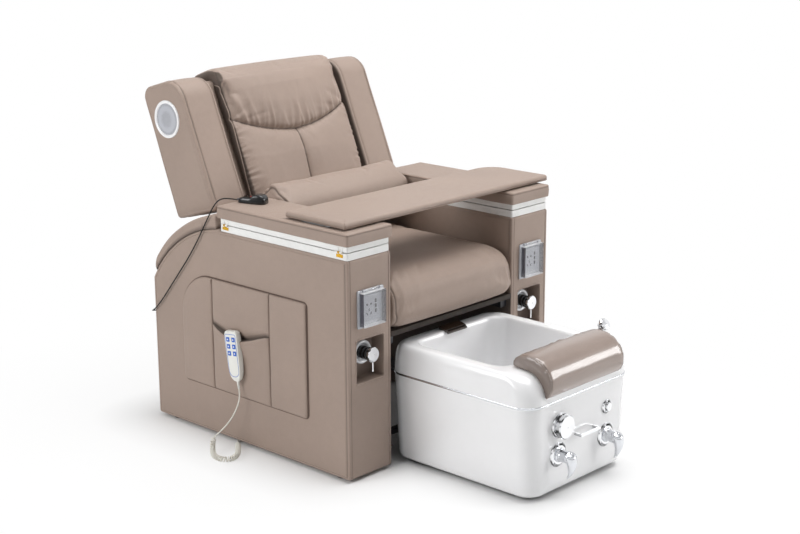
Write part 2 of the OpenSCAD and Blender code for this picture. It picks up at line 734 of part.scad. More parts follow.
module seat_cushion() color(leather) skin([for (k = [-1, -0.992, -0.965, -0.85, -0.6, -0.25, 0.25,
    0.6, 0.85,
    0.965, 0.992, 1]) seat_ring(k * (side_in - seat_side_gap))]);

module rail_pair() both() difference() {
    union() {
        block(rail_in, side_in, 20, pivot_y - 10, rail_z, deck_z);
        block(rail_in, rail_in + 8, pivot_y - 60, pivot_y + 28, pivot_z, deck_z);
        rod_x(rail_in, rail_in + 8, pivot_y, pivot_z, 28);
    }
    rod_x(rail_in - 1, rail_in + 9, pivot_y, pivot_z, pivot_r + run);
    block(rail_in + 3, side_in - 3, 23, pivot_y - 13, rail_z + 3, deck_z - 3);
}

cross_z = crank_z - 84;
post_y = arm_depth - 60;
slide_z0 = runner_z - 20;
slide_end = pivot_y + 112;

module slide_rail() both() difference() {
    block(side_in - 18, side_in, 15, slide_end, slide_z0, slide_z0 + 40);
    block(side_in - 19, side_in - 3, 14, slide_end + 1, slide_z0 + 6, slide_z0 + 34);
}

module base_frame() color(steel) {
    rail_pair();
    for (y = [50, pivot_y - 45]) block(-rail_in, rail_in, y, y + 30, deck_z - 18, deck_z);
    block(-side_in, side_in, post_y, post_y + 30, cross_z, cross_z + 40);
    block(-20, 20, post_y, post_y + 30, cross_z + 40, crank_z - 15);
    slide_rail();
}

module control_box() color("#2b2d30") {
    block(80, 210, post_y - 110, post_y, cross_z + 2, cross_z + 38);
    block(90, 200, post_y - 104, post_y - 8, cross_z + 38, cross_z + 44);
}

module actuator_body() color("#4a4d52") difference() {
    union() {
        block(-24, 24, post_y - 40, post_y + 30, crank_z - 15, crank_z + 28);
        rod_y(post_y - 228, post_y - 40, 0, crank_z, rod_r + 8);
        translate([0, post_y - 5, crank_z + 28]) cylinder(r = 20, h = 46);
    }
    rod_y(post_y - 229, post_y - 20, 0, crank_z, rod_r + run);
}

module actuator_rod() color(chrome) difference() {
    union() {
        rod_y(crank_pin.x + 12, post_y - 60, 0, crank_z, rod_r);
        block(-yoke_w / 2, yoke_w / 2, crank_pin.x - 14, crank_pin.x + 16, crank_z - slot_half - 14,
            crank_z + slot_half + 14);
    }
    for (s = [-1, 1]) rod_x(-yoke_w / 2 - 1, yoke_w / 2 + 1, crank_pin.x,
        crank_z + s * (slot_half + seat_c),
        pin_r + 0.4);
    block(-yoke_w / 2 - 1, yoke_w / 2 + 1, crank_pin.x - pin_r - 0.4, crank_pin.x + pin_r + 0.4,
        crank_z - slot_half - seat_c, crank_z + slot_half + seat_c);
}

// ---------------------------------------------------------------- back

shell_c = 0.8; // clearance between the shell and the centre cushion
shell_v0 = path_v + cushion_t + shell_c;
shell_top = back_len - 31 + wrap_r - cushion_t - shell_c;
shell_back = wing_t - 4;
shell_low = -back_rise + 150;
tail_v1 = 120;
shell_hw = side_in - 2 - seat_c;
tail_hw = rail_in - 7;
board = 24; // board and foam of the shell

module back_prism(hw, outline) along_x(-hw, hw) polygon([for (p = outline) back_point(p)]);

module back_shell() color(leather) difference() {
    union() {
        back_prism(shell_hw, rounded([[-60, shell_v0, 0], [shell_top, shell_v0,
            wrap_r - cushion_t - shell_c],
            [shell_top, shell_back, 8], [0, shell_back, 8], [-60, tail_v1, 0]]));
        back_prism(tail_hw, [[shell_low, shell_v0], [-59, shell_v0], [-59, tail_v1], [shell_low,
            tail_v1]]);
    }
    back_prism(tail_hw - board, [[shell_low - 1, shell_v0 + board], [shell_top - board, shell_v0 + board],
        [shell_top - board, shell_back - board], [20, shell_back - board], [-50, tail_v1 - 12],
        [shell_low - 1, tail_v1 - 12]]);
}

function wing_ring(x, d) = across([for (p = rounded([[-24 + d, 3 + d, 14], [back_len - d, d, 75],
    [back_len + 23 - d, wing_t + 3 - d, 34], [d - 2, wing_t + 14 - d, 10]], 5)) back_point(p)], x);

speaker_at = [304, 104];
speaker_yz = back_point(speaker_at);

module wing() difference() {
    skin([for (s = [[0, 12], [3, 4], [10, 0.6], [wing_w / 2, 0], [wing_w - 12, 0.6], [wing_w - 4, 4],
        [wing_w, 11]]) wing_ring(side_in - 2 + s.x, s.y)]);
    rod_x(side_in + wing_w - 48, side_in + wing_w, speaker_yz.x, speaker_yz.y, speaker_r - 10);
}

module back_wings() color(leather) both() wing();

module speaker() translate([side_in - 2 + wing_w, speaker_yz.x, speaker_yz.y]) rotate([0, 90, 0]) {
    color(white) rotate_extrude() polygon([[speaker_r - 14, 0], [speaker_r, 0], [speaker_r - 1, 3],
        [speaker_r - 4, 5], [speaker_r - 12, 4], [speaker_r - 14, 2]]);
    color("#b4b7bb") rotate_extrude() polygon([[0, 0.5], [speaker_r - 14, 0.5], [speaker_r - 14, 2],
        [0, 4]]);
    color("#2b2b2b") translate([0, 0, -36]) cylinder(r1 = speaker_r - 30, r2 = speaker_r - 12, h = 36);
}

module speakers() both() speaker();

// The centre cushion runs up the back's front, over its top and a little way down behind. Its
// path is u, v and the outward direction; s is the distance along it.
path_low = -155;
path_run = back_len - 31 - path_low;
function cushion_path(s) = s <= path_run ? [path_low + s, path_v, 0, -1] : let (
    a = (s - path_run) / wrap_r * 180 / PI)
    a < 90 ? [path_low + path_run + wrap_r * sin(a), path_v + wrap_r * (1 - cos(a)), sin(a), -cos(a)] :
    [path_low + path_run + wrap_r, path_v + wrap_r + s - path_run - wrap_r * PI / 2, 1, 0];
function v_seam(x) = 185 - path_low + 65 * pow(abs(x) / 255, 1.8);
function cushion_rise(x, s) = let (seam = v_seam(x), half = cushion_w / 2, t = abs(x) / half,
    lower = s < seam,
    up = lower ? sin(180 * s / seam) : sin(180 * min((s - seam) / (path_run - seam), 1)),
    side = lower ? sin(180 * t) : 1 - t * t)
    cushion_crown * up * side - 6 * exp(-pow((s - seam) / 9, 2)) - (lower ? 5 * exp(-pow(x / 9, 2)) : 0);

function cushion_ring(x, edge) = let (seam = v_seam(x),
    low = [for (k = [0, 0.03, 0.12, 0.4, 0.7, 0.92]) k * seam],
    high = [for (k = [0.06, 0.2, 0.5, 0.8, 1]) seam + k * (path_run - seam)],
    over = [for (k = [0.4, 0.7, 1, 1.7, 1.75]) path_run + k * wrap_r * PI / 2],
    stops = concat(low, [seam - 9, seam, seam + 9], high, over),
    outer = [for (s = stops) let (p = cushion_path(s), r = cushion_rise(x, s) - edge)
        [p.x + p[2] * r, p.y + p[3] * r]],
    inner = [for (s = [stops[len(stops) - 1], each [for (k = [3:-1:0])
        path_run + k / 3 * wrap_r * PI / 2],
        path_run / 2, 0]) let (p = cushion_path(s), r = edge * 0.8 - cushion_t) [p.x + p[2] * r,
            p.y + p[3] * r]])
    across([for (q = concat(outer, inner)) back_point(q)], x);

module back_cushion() color(leather) let (h = cushion_w / 2) skin([for (s = [[-1, 14], [-0.985, 5],
    [-0.94, 1],
    [-0.75, 0], [-0.5, 0], [-0.22, 0], [-0.035, 0], [0, 0], [0.035, 0], [0.22, 0], [0.5, 0], [0.75, 0],
    [0.94, 1], [0.985, 5], [1, 14]]) cushion_ring(s.x * h, s.y)]);

pillow_low = seat_top + seat_crown + 9;
pillow_v = path_v - 0.82 * cushion_crown - seat_c;
function back_at(z, v) = back_point([(z - datum.y + v * sin(lean)) / cos(lean), v]);
pillow_rear = [back_at(pillow_low, pillow_v), back_at(pillow_low + 136, pillow_v)];
function pillow_ring(x, d) = across(rounded([[pillow_rear[0].x - d, pillow_low + d, 28],
    [pillow_rear[1].x - d, pillow_rear[1].y, 40], [pivot_y + 14, pillow_low + 205 - d, 24],
    [pivot_y - 84 + d, pillow_low + 138, 60], [pivot_y - 80 + d, pillow_low + d, 50]], 5), x);

module lumbar_pillow() color(leather) let (h = pillow_len / 2) skin([for (s = [[-1, 22], [-0.985,
    10], [-0.95, 4],
    [-0.7, 0], [0, -2], [0.7, 0], [0.95, 4], [0.985, 10], [1, 22]]) pillow_ring(s.x * h, s.y)]);

leg_x = tail_hw - board - 14;
leg_r = 12;

module back_leg(x) translate([x, pivot_y, pivot_z]) rotate([-lean, 0, 0])
    cylinder(r = leg_r, h = back_rise + back_len - 90);

module back_bar(u) along_x(-(tail_hw - board), tail_hw - board)
    translate(back_point([u, back_axis_in])) rotate(-lean) square([24, 24], center = true);

crank_t = 4;
module crank_plate() difference() {
    union() {
        circle(torque_r + 8);
        rotate(180 - crank_a) translate([-13, -crank_len]) square([26, crank_len]);
        rotate(180 - crank_a) translate([0, -crank_len]) circle(13);
    }
    circle(torque_r);
}

module back_frame() color(steel) {
    rod_x(-rail_in + 0.5, rail_in - 0.5, pivot_y, pivot_z, torque_r);
    rod_x(-rail_in - 10, rail_in + 10, pivot_y, pivot_z, pivot_r);
    for (x = [-leg_x, leg_x]) back_leg(x);
    for (u = [-120, 160, back_len - 100]) back_bar(u);
    for (x = [-yoke_w / 2 - 0.3 - crank_t, yoke_w / 2 + 0.3]) along_x(x, x + crank_t)
        translate([pivot_y, pivot_z]) crank_plate();
    rod_x(-yoke_w / 2 - 6, yoke_w / 2 + 6, crank_pin.x, crank_pin.y, pin_r);
    color("#555555") for (s = [-1, 1]) translate([s * 90, 0, 0])
        rod_x(-26, 26, back_point([160, back_axis_in - 0.5]).x + 30, back_point([160,
            back_axis_in]).y - 13, 20);
}

// ---------------------------------------------------------------- foot basin

// The basin's outside, from its trim line (a = 90) up to the crest of the rim (a = 0).
function rim_half(a) = basin_hw - 26 + 26 * pow0(sin(a), 0.55);
function rim_front(a) = basin_y0 + shoulder - shoulder * pow0(sin(a), 0.8);
function rim_rear(a) = basin_y1 - 24 + 24 * pow0(sin(a), 0.55);
function rim_z(a) = basin_z + rise * pow0(cos(a), 0.8);
function plan(hw, y0, y1, r, z) = lift(box_plan(-hw, hw, y0, y1, r, 5), z);
function rim_ring(a, d) = plan(rim_half(a) - d, rim_front(a) + d, rim_rear(a) - d, basin_r - d,
    rim_z(a) - (a > 89 ? 0 : d * cos(a)));
function bowl_ring(k, d, z) = plan(mouth_w / 2 - k + d, mouth_y0 + k * 1.1 - d,
    mouth_y1 - k * 1.1 + d, 52 + d, z);
rim_steps = [90, 68, 48, 30, 14, 0];

module basin() color(white) difference() {
    skin(concat(
        [bowl_ring(90, 0, floor_z - 1), bowl_ring(42, 0, floor_z), bowl_ring(28, 0, floor_z + 14),
            bowl_ring(12, 0, basin_h - 60), bowl_ring(6, 0, basin_h - 12), bowl_ring(0, 0, basin_h - 2)],
        [for (k = [5:-1:0]) rim_ring(rim_steps[k], 0)],
        [for (k = [0:4]) rim_ring(rim_steps[k], basin_wall)],
        [bowl_ring(-1, 1, basin_h - 2 - basin_wall), bowl_ring(6, basin_wall, basin_h - 16),
            bowl_ring(12, basin_wall, basin_h - 60), bowl_ring(28, basin_wall, floor_z + 12),
            bowl_ring(42, basin_wall, floor_z - 5), bowl_ring(90, basin_wall, floor_z - 6)]));
    translate([0, drain_y, floor_z - 20]) cylinder(r = 20 + seat_c, h = 40);
    translate([shower_at.x, shower_at.y, basin_h - 12]) cylinder(r = 13 + seat_c, h = 20);
    translate([shower_at.x, shower_at.y, basin_h - 60]) cylinder(r = 9, h = 60);
    block(-spout_w / 2 - seat_c, spout_w / 2 + seat_c, mouth_y1 - 8, spout_y1 + seat_c, basin_h - 4,
        basin_h + 9);
}

module fitting_holes() {
    rod_y(basin_y0 - 1, basin_y0 + 20, tap_left.x, tap_left.y, 12 + seat_c);
    rod_y(basin_y0 - 1, basin_y0 + 20, tap_right.x, tap_right.y, 12 + seat_c);
    rod_y(basin_y0 - 1, basin_y0 + 20, knob_at.x, knob_at.y, 12 + seat_c);
    rod_y(basin_y0 - 1, basin_y0 + 20, button_at.x, button_at.y, 8 + seat_c);
}

module basin_skirt() color(white) difference() {
    skin([
        plan(basin_hw - 34, basin_y0 + 18, basin_y1 - 18, basin_r - 14, skirt_z),
        plan(basin_hw - 20, basin_y0 + 5, basin_y1 - 6, basin_r - 4, skirt_z + 7),
        plan(basin_hw - 14, basin_y0, basin_y1 - 2, basin_r, wheel_r + 24),
        plan(basin_hw, basin_y0, basin_y1, basin_r, trim_z),
        plan(basin_hw - basin_wall, basin_y0 + basin_wall, basin_y1 - basin_wall,
            basin_r - basin_wall, trim_z),
        plan(basin_hw - 14 - basin_wall, basin_y0 + basin_wall, basin_y1 - 2 - basin_wall,
            basin_r - basin_wall, wheel_r + 24),
        plan(basin_hw - 24 - basin_wall, basin_y0 + 9 + basin_wall, basin_y1 - 10 - basin_wall,
            basin_r - 14, skirt_z + 8),
        plan(basin_hw - 34 - basin_wall, basin_y0 + 18 + basin_wall, basin_y1 - 18 - basin_wall,
            basin_r - 14 - basin_wall, skirt_z)], loop = true);
    fitting_holes();
    block(-172, 172, basin_y1 - 40, basin_y1 + 5, skirt_z - 1, runner_z + 14);
}

module basin_trim() color(chrome) translate([0, 0, trim_z]) linear_extrude(trim_h) difference() {
    round_square(-basin_hw - 1.5, basin_hw + 1.5, basin_y0 - 1.5, basin_y1 + 1.5, basin_r + 1.5);
    round_square(-basin_hw + basin_wall, basin_hw - basin_wall, basin_y0 + basin_wall,
        basin_y1 - basin_wall, basin_r - basin_wall);
}

axle_r = 4;
fork_x = wheel_x - wheel_w / 2 - 6;
bar_z0 = wheel_r + 22;

module fork(y) both() difference() {
    union() {
        block(fork_x, fork_x + 4, y - 10, y + 10, wheel_r, bar_z0 + 4);
        rod_x(fork_x, fork_x + 4, y, wheel_r, 10);
    }
    rod_x(fork_x - 1, fork_x + 5, y, wheel_r, axle_r + run);
}

// The skirt's inner face at a height, along its straight sides.
function skirt_in(z) = basin_hw - basin_wall - 14 * (trim_z - z) / (trim_z - wheel_r - 24);
bar_z1 = bar_z0 + 18;
plate_t = 4;
pump_y = basin_y0 + 72;

module pump() color("#33363b") {
    rod_x(-70, 60, pump_y, bar_z0 + 68, 38);
    rod_x(60, 130, pump_y, bar_z0 + 68, 29);
    block(-60, 110, pump_y - 30, pump_y + 30, bar_z1, bar_z0 + 50);
}

module basin_chassis() color(steel) {
    both() block(fork_x - 24, fork_x, basin_y0 + 27, basin_y1 + 30, bar_z0, bar_z1);
    block(-fork_x, fork_x, pump_y - 45, pump_y + 45, bar_z1 - plate_t, bar_z1);
    for (y = [basin_y0 + basin_r + 14, basin_y1 - basin_r - 22]) both()
        block(fork_x - 24, skirt_in(bar_z1) - seat_c, y - 8, y + 8, bar_z1, bar_z1 + plate_t);
    for (y = [drain_y - 110, drain_y + 110]) both()
        block(fork_x - 24, fork_x - 8, y - 10, y + 10, bar_z1, floor_z - 6 - seat_c);
    for (y = wheel_ys) fork(y);
    block(-fork_x, fork_x, basin_y1 + 10, basin_y1 + 30, bar_z1, runner_z + 8);
    block(-side_in + 3.5, side_in - 3.5, basin_y1 + 10, basin_y1 + 30, runner_z - 8, runner_z + 8);
    both() block(side_in - 16, side_in - 3.5, basin_y1 + 10, basin_y1 + 10 + basin_travel, runner_z - 13.5,
        runner_z + 13.5);
    pump();
}

module wheel_pair(y) color("#3b3d40") {
    both() translate([wheel_x, y, wheel_r]) rotate([0, 90, 0]) translate([0, 0, -wheel_w / 2])
        rotate_extrude() polygon([[axle_r, 0], [wheel_r - 2, 0], [wheel_r, 2], [wheel_r, wheel_w - 2],
            [wheel_r - 2, wheel_w], [axle_r, wheel_w]]);
    rod_x(-wheel_x - wheel_w / 2 - 3, wheel_x + wheel_w / 2 + 3, y, wheel_r, axle_r);
}

module front_wheels() wheel_pair(wheel_ys[0]);

module rear_wheels() wheel_pair(wheel_ys[1]);

// The calf pad's underside follows the basin's front shoulder; t runs from its rear edge down.
function shoulder_point(t) = t < 0.2 ? [rim_front(0) + (0.2 - t) * 120, basin_h + 1] : let (
    a = (t - 0.2) / 0.8 * 84) [rim_front(a) - 1.2 * sin(a), rim_z(a) + 1];
function shoulder_out(t) = let (d = shoulder_point(min(t + 0.02, 1)) - shoulder_point(max(t - 0.02, 0)))
    unit([d.y, -d.x]);
calf_steps = [0, 0.06, 0.16, 0.28, 0.4, 0.52, 0.64, 0.76, 0.88, 0.97, 1];
function calf_ring(x, d) = across(concat(
    [for (t = calf_steps) shoulder_point(t)],
    [for (k = [len(calf_steps) - 2:-1:1]) let (t = calf_steps[k])
        shoulder_point(t) + shoulder_out(t) * (calf_t - d) * pow(sin(180 * (0.07 + 0.93 * t)), 0.6)],
    [shoulder_point(0) + shoulder_out(0) * 17]), x);

module calf_pad() color(leather_dark) skin([for (s = [[-1, 5], [-0.985, 1.5], [-0.9, 0], [0, -1], [0.9, 0],
    [0.985, 1.5], [1, 5]]) calf_ring(s.x * calf_hl, s.y)]);

module spout() {
    color(chrome) difference() {
        along_x(-spout_w / 2, spout_w / 2) polygon([[mouth_y1 - 8, basin_h - 4 + seat_c],
            [mouth_y1 - 14, basin_h - 8],
            [mouth_y1 - 14, basin_h - 5], [mouth_y1 - 6, basin_h + 3], [spout_y1, basin_h + 10],
            [spout_y1, basin_h - 4 + seat_c]]);
        block(-spout_w / 2 + 5, spout_w / 2 - 5, mouth_y1 - 20, spout_y1 - 4, basin_h - 2, basin_h + 2);
    }
}

tail_r = 16;

module drain() color(chrome) difference() {
    translate([0, drain_y, 0]) {
        translate([0, 0, floor_z - 10]) cylinder(r = 20, h = 12);
        translate([0, 0, floor_z]) rotate_extrude() polygon([[0, 0], [33, 0], [33, 1], [28, 3], [0, 3]]);
        translate([0, 0, floor_z - 44]) cylinder(r = tail_r, h = 35);
    }
    for (a = [0:60:300]) translate([12 * cos(a), drain_y + 12 * sin(a), floor_z - 12])
        cylinder(r = 3, h = 20);
}

// ---------------------------------------------------------------- basin fittings

module rose(at, r) translate([at.x, basin_y0, at.y]) rotate([90, 0, 0]) rotate_extrude()
    polygon([[0, 0], [r, 0], [r, 2], [r - 3, 4.5], [r - 9, 7], [0, 7]]);

module front_fittings() color(chrome) {
    for (at = [tap_left, tap_right]) {
        rose(at, rose_r);
        rod_y(basin_y0 - 48, basin_y0, at.x, at.y, 7);
        rod_y(basin_y0, basin_y0 + 32, at.x, at.y, 12);
    }
    rose(knob_at, knob_r + 2);
    rod_y(basin_y0 - 24, basin_y0, knob_at.x, knob_at.y, 7);
    rod_y(basin_y0, basin_y0 + 32, knob_at.x, knob_at.y, 12);
    difference() {
        union() {
            rose(button_at, button_r + 8);
            rod_y(basin_y0, basin_y0 + 26, button_at.x, button_at.y, 8);
        }
        rod_y(basin_y0 - 8, basin_y0 + 20, button_at.x, button_at.y, 5 + run);
        rod_y(basin_y0 - 8, basin_y0 - 7 + button_travel + 0.5, button_at.x, button_at.y, button_r + 0.4);
    }
    difference() {
        along_y(basin_y0 - 26, basin_y0) round_square(pull_mid - pull_w / 2, pull_mid + pull_w / 2,
            pull_z - 4, pull_z + 4, 3.9);
        along_y(basin_y0 - 21.5, basin_y0 + 1) translate([pull_mid - pull_w / 2 + 8, pull_z - 5])
            square([pull_w - 16, 10]);
    }
}

module air_knob() color(chrome) translate([knob_at.x, basin_y0, knob_at.y]) rotate([90, 0, 0])
    difference() {
    translate([0, 0, 7 + seat_c]) rotate_extrude() polygon([[0, 0], [knob_r - 6, 0], [knob_r - 2, 3],
        [knob_r, 8],
        [knob_r, 17], [knob_r - 3, 20], [0, 22]]);
    translate([0, 0, 6]) cylinder(r = 7 + run, h = 19);
}

// A lever that curves down from the tap's axis: rings of an ellipse along its line.
module tap_lever(at) color(chrome) translate([at.x, basin_y0, at.y]) difference() {
    union() {
        rotate([90, 0, 0]) translate([0, 0, 7 + seat_c]) rotate_extrude() polygon([[0, 0], [21, 0],
            [20, 6], [18, 12], [18, 30], [20, 40], [19, 48], [12, 54], [0, 56]]);
        skin([for (k = [0:7]) let (t = k / 7, w = 18 - 14 * t, h = 13 - 10 * t,
            y = -46 - 9 * sin(120 * t) + 14 * t)
            [for (j = [0:11]) let (a = 30 * j) [w * cos(a), y + h * sin(a), -4 - (lever_len - 4) * t]]]);
    }
    rotate([90, 0, 0]) translate([0, 0, 6]) cylinder(r = 7 + run, h = 43);
}

module tap_lever_left() tap_lever(tap_left);

module tap_lever_right() tap_lever(tap_right);

module push_button() color(chrome) translate([button_at.x, basin_y0, button_at.y]) rotate([90, 0, 0]) {
    translate([0, 0, 7]) rotate_extrude() polygon([[0, 0], [button_r, 0], [button_r, 3],
        [button_r - 2, 5], [0, 5.5]]);
    translate([0, 0, -14]) cylinder(r = 5, h = 22);
}

module shower_holder() color(chrome) translate([shower_at.x, shower_at.y, basin_h - 12 + seat_c])
    difference() {
    rotate_extrude() polygon([[0, 0], [13, 0], [13, 14], [15, 16], [15, 19], [12, 22], [0, 22]]);
    translate([0, 0, -1]) cylinder(r = 8 + seat_c, h = 24);
}

module hand_shower() color(chrome) translate([shower_at.x, shower_at.y, basin_h]) {
    translate([0, 0, -55]) cylinder(r = 8, h = 66);
    translate([0, 0, -130]) cylinder(r = 7, h = 80);
    translate([0, 0, 10.4]) rotate_extrude() polygon([[0, 0], [12, 0], [13, 4], [10, 12], [9, 26],
        [12, 34], [0, 38]]);
    translate([0, -13, 48]) rotate([52, 0, 0]) rotate_extrude() polygon([[0, -10], [15, -10], [19,
        -4], [19, 2],
        [16, 5], [0, 6]]);
}

// ---------------------------------------------------------------- handsets, keys, cords

module at_handset() translate(handset_at) rotate([handset_tilt, 0, 0]) children();

function handset_ring(z, w, t) = lift(box_plan(-t / 2, t / 2, -w / 2, w / 2, min(t, w) * 0.3, 3), z);

module handset_shape() let (h = handset_len / 2, w = handset_w, t = handset_t) skin([
    handset_ring(-h, w * 0.42, t * 0.5), handset_ring(-h + 4, w * 0.62, t * 0.72),
    handset_ring(-h + 14, w * 0.82, t * 0.9), handset_ring(-h + 32, w * 0.92, t),
    handset_ring(-10, w * 0.96, t), handset_ring(h - 40, w, t), handset_ring(h - 12, w, t),
    handset_ring(h - 4, w * 0.94, t * 0.9), handset_ring(h, w * 0.78, t * 0.6)]);

function key_at(i) = [-handset_t / 2, (i % 2 == 0 ? -1 : 1) * 9.5,
    handset_len / 2 - 32 - 16 * floor(i / 2)];

module key_prism(i, grow, x0, x1) translate([0, key_at(i).y, key_at(i).z]) along_x(x0, x1)
    round_square(-key_size.y / 2 - grow, key_size.y / 2 + grow, -key_size.x / 2 - grow,
        key_size.x / 2 + grow, 1.5);

module handset_white() color("#e9e9e4") {
    difference() {
        at_handset() {
            handset_shape();
            translate([0, 0, -handset_len / 2 - 20]) cylinder(r1 = 2.6, r2 = 4.6, h = 21);
        }
        at_handset() for (i = [0:5]) key_prism(i, 0.25, -handset_t / 2 - 1, -handset_t / 2 + key_depth);
    }
    block(handset_at.x + handset_t / 2 - 2, -side_out - 4.2, 466, 482, lip_z + seat_c, lip_z + 4);
    block(-side_out - 7.2, -side_out - 4.2, 466, 482, lip_z - 20, lip_z + 4);
}

module key(i) color("#2f62c9") at_handset() key_prism(i, 0, -handset_t / 2 - key_out,
    -handset_t / 2 + key_depth - key_travel - 0.1);

module key_1() key(0);

module key_2() key(1);

module key_3() key(2);

module key_4() key(3);

module key_5() key(4);

module key_6() key(5);

module cord_straight() color("#e4e4de") cord(spline(white_route, 2), cord_d, 8, [1, 0, 0]);

// The curly part: the centre line winds round the route at a radius that grows from and falls
// back to nothing at its ends.
curl_line = spline(curl_route, 6);
curl_steps = [for (i = [0:len(curl_line) - 2]) norm(curl_line[i + 1] - curl_line[i])];
curl_sums = [for (i = 0, s = 0; i < len(curl_line); s = s + (i < len(curl_steps) ? curl_steps[i] :
    0), i = i + 1) s];
curl_total = curl_sums[len(curl_sums) - 1];
function line_at(s, i = 0) = i >= len(curl_steps) - 1 || curl_sums[i + 1] >= s ?
    curl_line[i] + (curl_line[i + 1] - curl_line[i]) * (s - curl_sums[i]) / curl_steps[i] :
        line_at(s, i + 1);
curl_start = 8;
curl_stop = curl_total - 56;
ramp = 1.5 * curl_pitch;
function smooth(t) = let (c = min(max(t, 0), 1)) c * c * (3 - 2 * c);
function curl_radius(s) = curl_r * smooth((s - curl_start) / ramp) * smooth((curl_stop - s) / ramp);
function axis_way(s) = unit(line_at(min(s + 4, curl_total)) - line_at(max(s - 4, 0)));
function curl_point(s) = let (t = axis_way(s), n = unit(cross(t, [0, 0, 1])), b = cross(n, t),
    a = 360 * (s - curl_start) / curl_pitch, r = curl_radius(s))
    line_at(s) + r * (cos(a) * n + sin(a) * b);
curl_count = ceil((curl_stop - curl_start) / curl_pitch * 8);
curl_path = concat([line_at(0), line_at(curl_start / 2)],
    [for (i = [0:curl_count]) curl_point(curl_start + (curl_stop - curl_start) * i / curl_count)],
    [for (k = [1:5]) line_at(curl_stop + (curl_total - curl_stop) * k / 6)],
    [line_at(curl_total - cord_d), line_at(curl_total)]);
// The least distance between two turns one curl apart, less the cord's thickness.
curl_gap = min([for (i = [2:len(curl_path) - 13], j = [6:10]) norm(curl_path[i + j] - curl_path[i])])
    - cord_d;
echo(curl_gap = curl_gap, curls = curl_count / 8, curl_axis = curl_total);

module cord_curly() color("#e4e4de") cord(curl_path, cord_d, 6, [0, 0, 1]);

module cord_glands() color("#2b2b2b") {
    translate([white_end.x, white_end.y, foot_h + 1]) cylinder(r = 5, h = arm_wall - 1);
    rod_y(arm_depth - arm_wall, arm_depth + 4, black_end.x, black_end.y, 6);
}

black_turn = 21;
black_relief = [-384, box_len, lid_top + 6];
black_at = [black_relief.x + 54 * sin(black_turn), black_relief.y - 54 * cos(black_turn),
    lid_top + seat_c];
red_at = [3, 8, 18];

module at_black() translate(black_at) rotate([0, 0, black_turn]) children();

module handset_black() color("#1d1e20") at_black() difference() {
    union() {
        skin([for (s = [[-46, 0.55, 8], [-42, 0.85, 13], [-25, 1, 17], [5, 0.96, 19], [30, 1, 22],
            [42, 0.9, 19],
            [47, 0.6, 12]]) [for (q = rounded([[-22 * s.y, 0.2, 4], [22 * s.y, 0.2, 4], [22 * s.y,
                s[2], 7],
            [-22 * s.y, s[2], 7]], 3)) [q.x, s.x, q.y]]]);
        translate([0, 54, black_relief.z - black_at.z]) rotate([90, 0, 0]) cylinder(r1 = 2.4, r2 = 4,
            h = 14);
    }
    translate([red_at.x, red_at.y, red_at.z - 4]) cylinder(r = 4.25, h = 9);
}

module key_red() color("#c42a24") at_black() translate([red_at.x, red_at.y,
    red_at.z - 4 + key_travel + 0.1])
    cylinder(r = 4, h = 4.6);

module cord_black() color("#1d1e20") cord(spline(black_route, 2), black_d, 8, [0, 0, 1]);

// ---------------------------------------------------------------- all nodes

arm_body_left();
arm_body_right();
side_pads();
arm_caps();
storage_boxes();
box_hinges();
base_frame();
feet();
seat_board();
seat_cushion();
sockets();
mixer_bodies();
control_box();
actuator_body();
actuator_rod();
back_shell();
back_wings();
back_cushion();
lumbar_pillow();
back_frame();
speakers();
lid_frame_left();
lid_frame_right();
lid_pad_left();
lid_pad_right();
work_board();
board_bracket();
splash_cover_left();
splash_cover_right();
mixer_handle_left();
mixer_handle_right();
basin();
basin_skirt();
basin_trim();
basin_chassis();
front_wheels();
rear_wheels();
calf_pad();
spout();
drain();
front_fittings();
air_knob();
tap_lever_left();
tap_lever_right();
push_button();
shower_holder();
hand_shower();
handset_white();
key_1();
key_2();
key_3();
key_4();
key_5();
key_6();
cord_straight();
cord_curly();
cord_glands();
handset_black();
key_red();
cord_black();
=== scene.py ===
import math

import bmesh
import bpy
import numpy as np
from mathutils import Matrix, Vector
from mathutils.bvhtree import BVHTree


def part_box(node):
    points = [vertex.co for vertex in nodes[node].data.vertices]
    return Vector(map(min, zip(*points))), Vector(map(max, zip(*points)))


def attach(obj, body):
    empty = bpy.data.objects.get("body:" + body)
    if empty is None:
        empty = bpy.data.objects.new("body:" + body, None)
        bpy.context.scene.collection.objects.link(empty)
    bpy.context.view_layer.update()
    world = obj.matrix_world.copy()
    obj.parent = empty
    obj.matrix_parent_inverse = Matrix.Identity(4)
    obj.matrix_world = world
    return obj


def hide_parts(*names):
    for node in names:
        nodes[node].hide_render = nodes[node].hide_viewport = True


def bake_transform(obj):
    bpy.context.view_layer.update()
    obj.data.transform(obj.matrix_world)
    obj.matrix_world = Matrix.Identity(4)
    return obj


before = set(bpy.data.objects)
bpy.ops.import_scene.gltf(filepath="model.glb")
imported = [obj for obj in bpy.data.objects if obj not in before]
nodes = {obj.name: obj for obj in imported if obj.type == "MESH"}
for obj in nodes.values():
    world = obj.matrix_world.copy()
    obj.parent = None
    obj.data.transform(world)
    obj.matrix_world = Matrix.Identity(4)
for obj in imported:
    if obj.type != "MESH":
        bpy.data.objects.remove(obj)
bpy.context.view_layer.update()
MM = 0.001
scene = bpy.context.scene
scene.view_settings.view_transform = "Standard"

# ---------------------------------------------------------------- camera, light, floor

# fitted to the photograph: metres, degrees of yaw, pitch and roll, and pixels
CAMERA_AT = (-3.5439, -3.0934, 1.8266)
CAMERA_TURN = (-46.878, 14.919, -0.2228)
FOCAL_PX, PHOTO_WIDTH_PX = 1590.55, 800


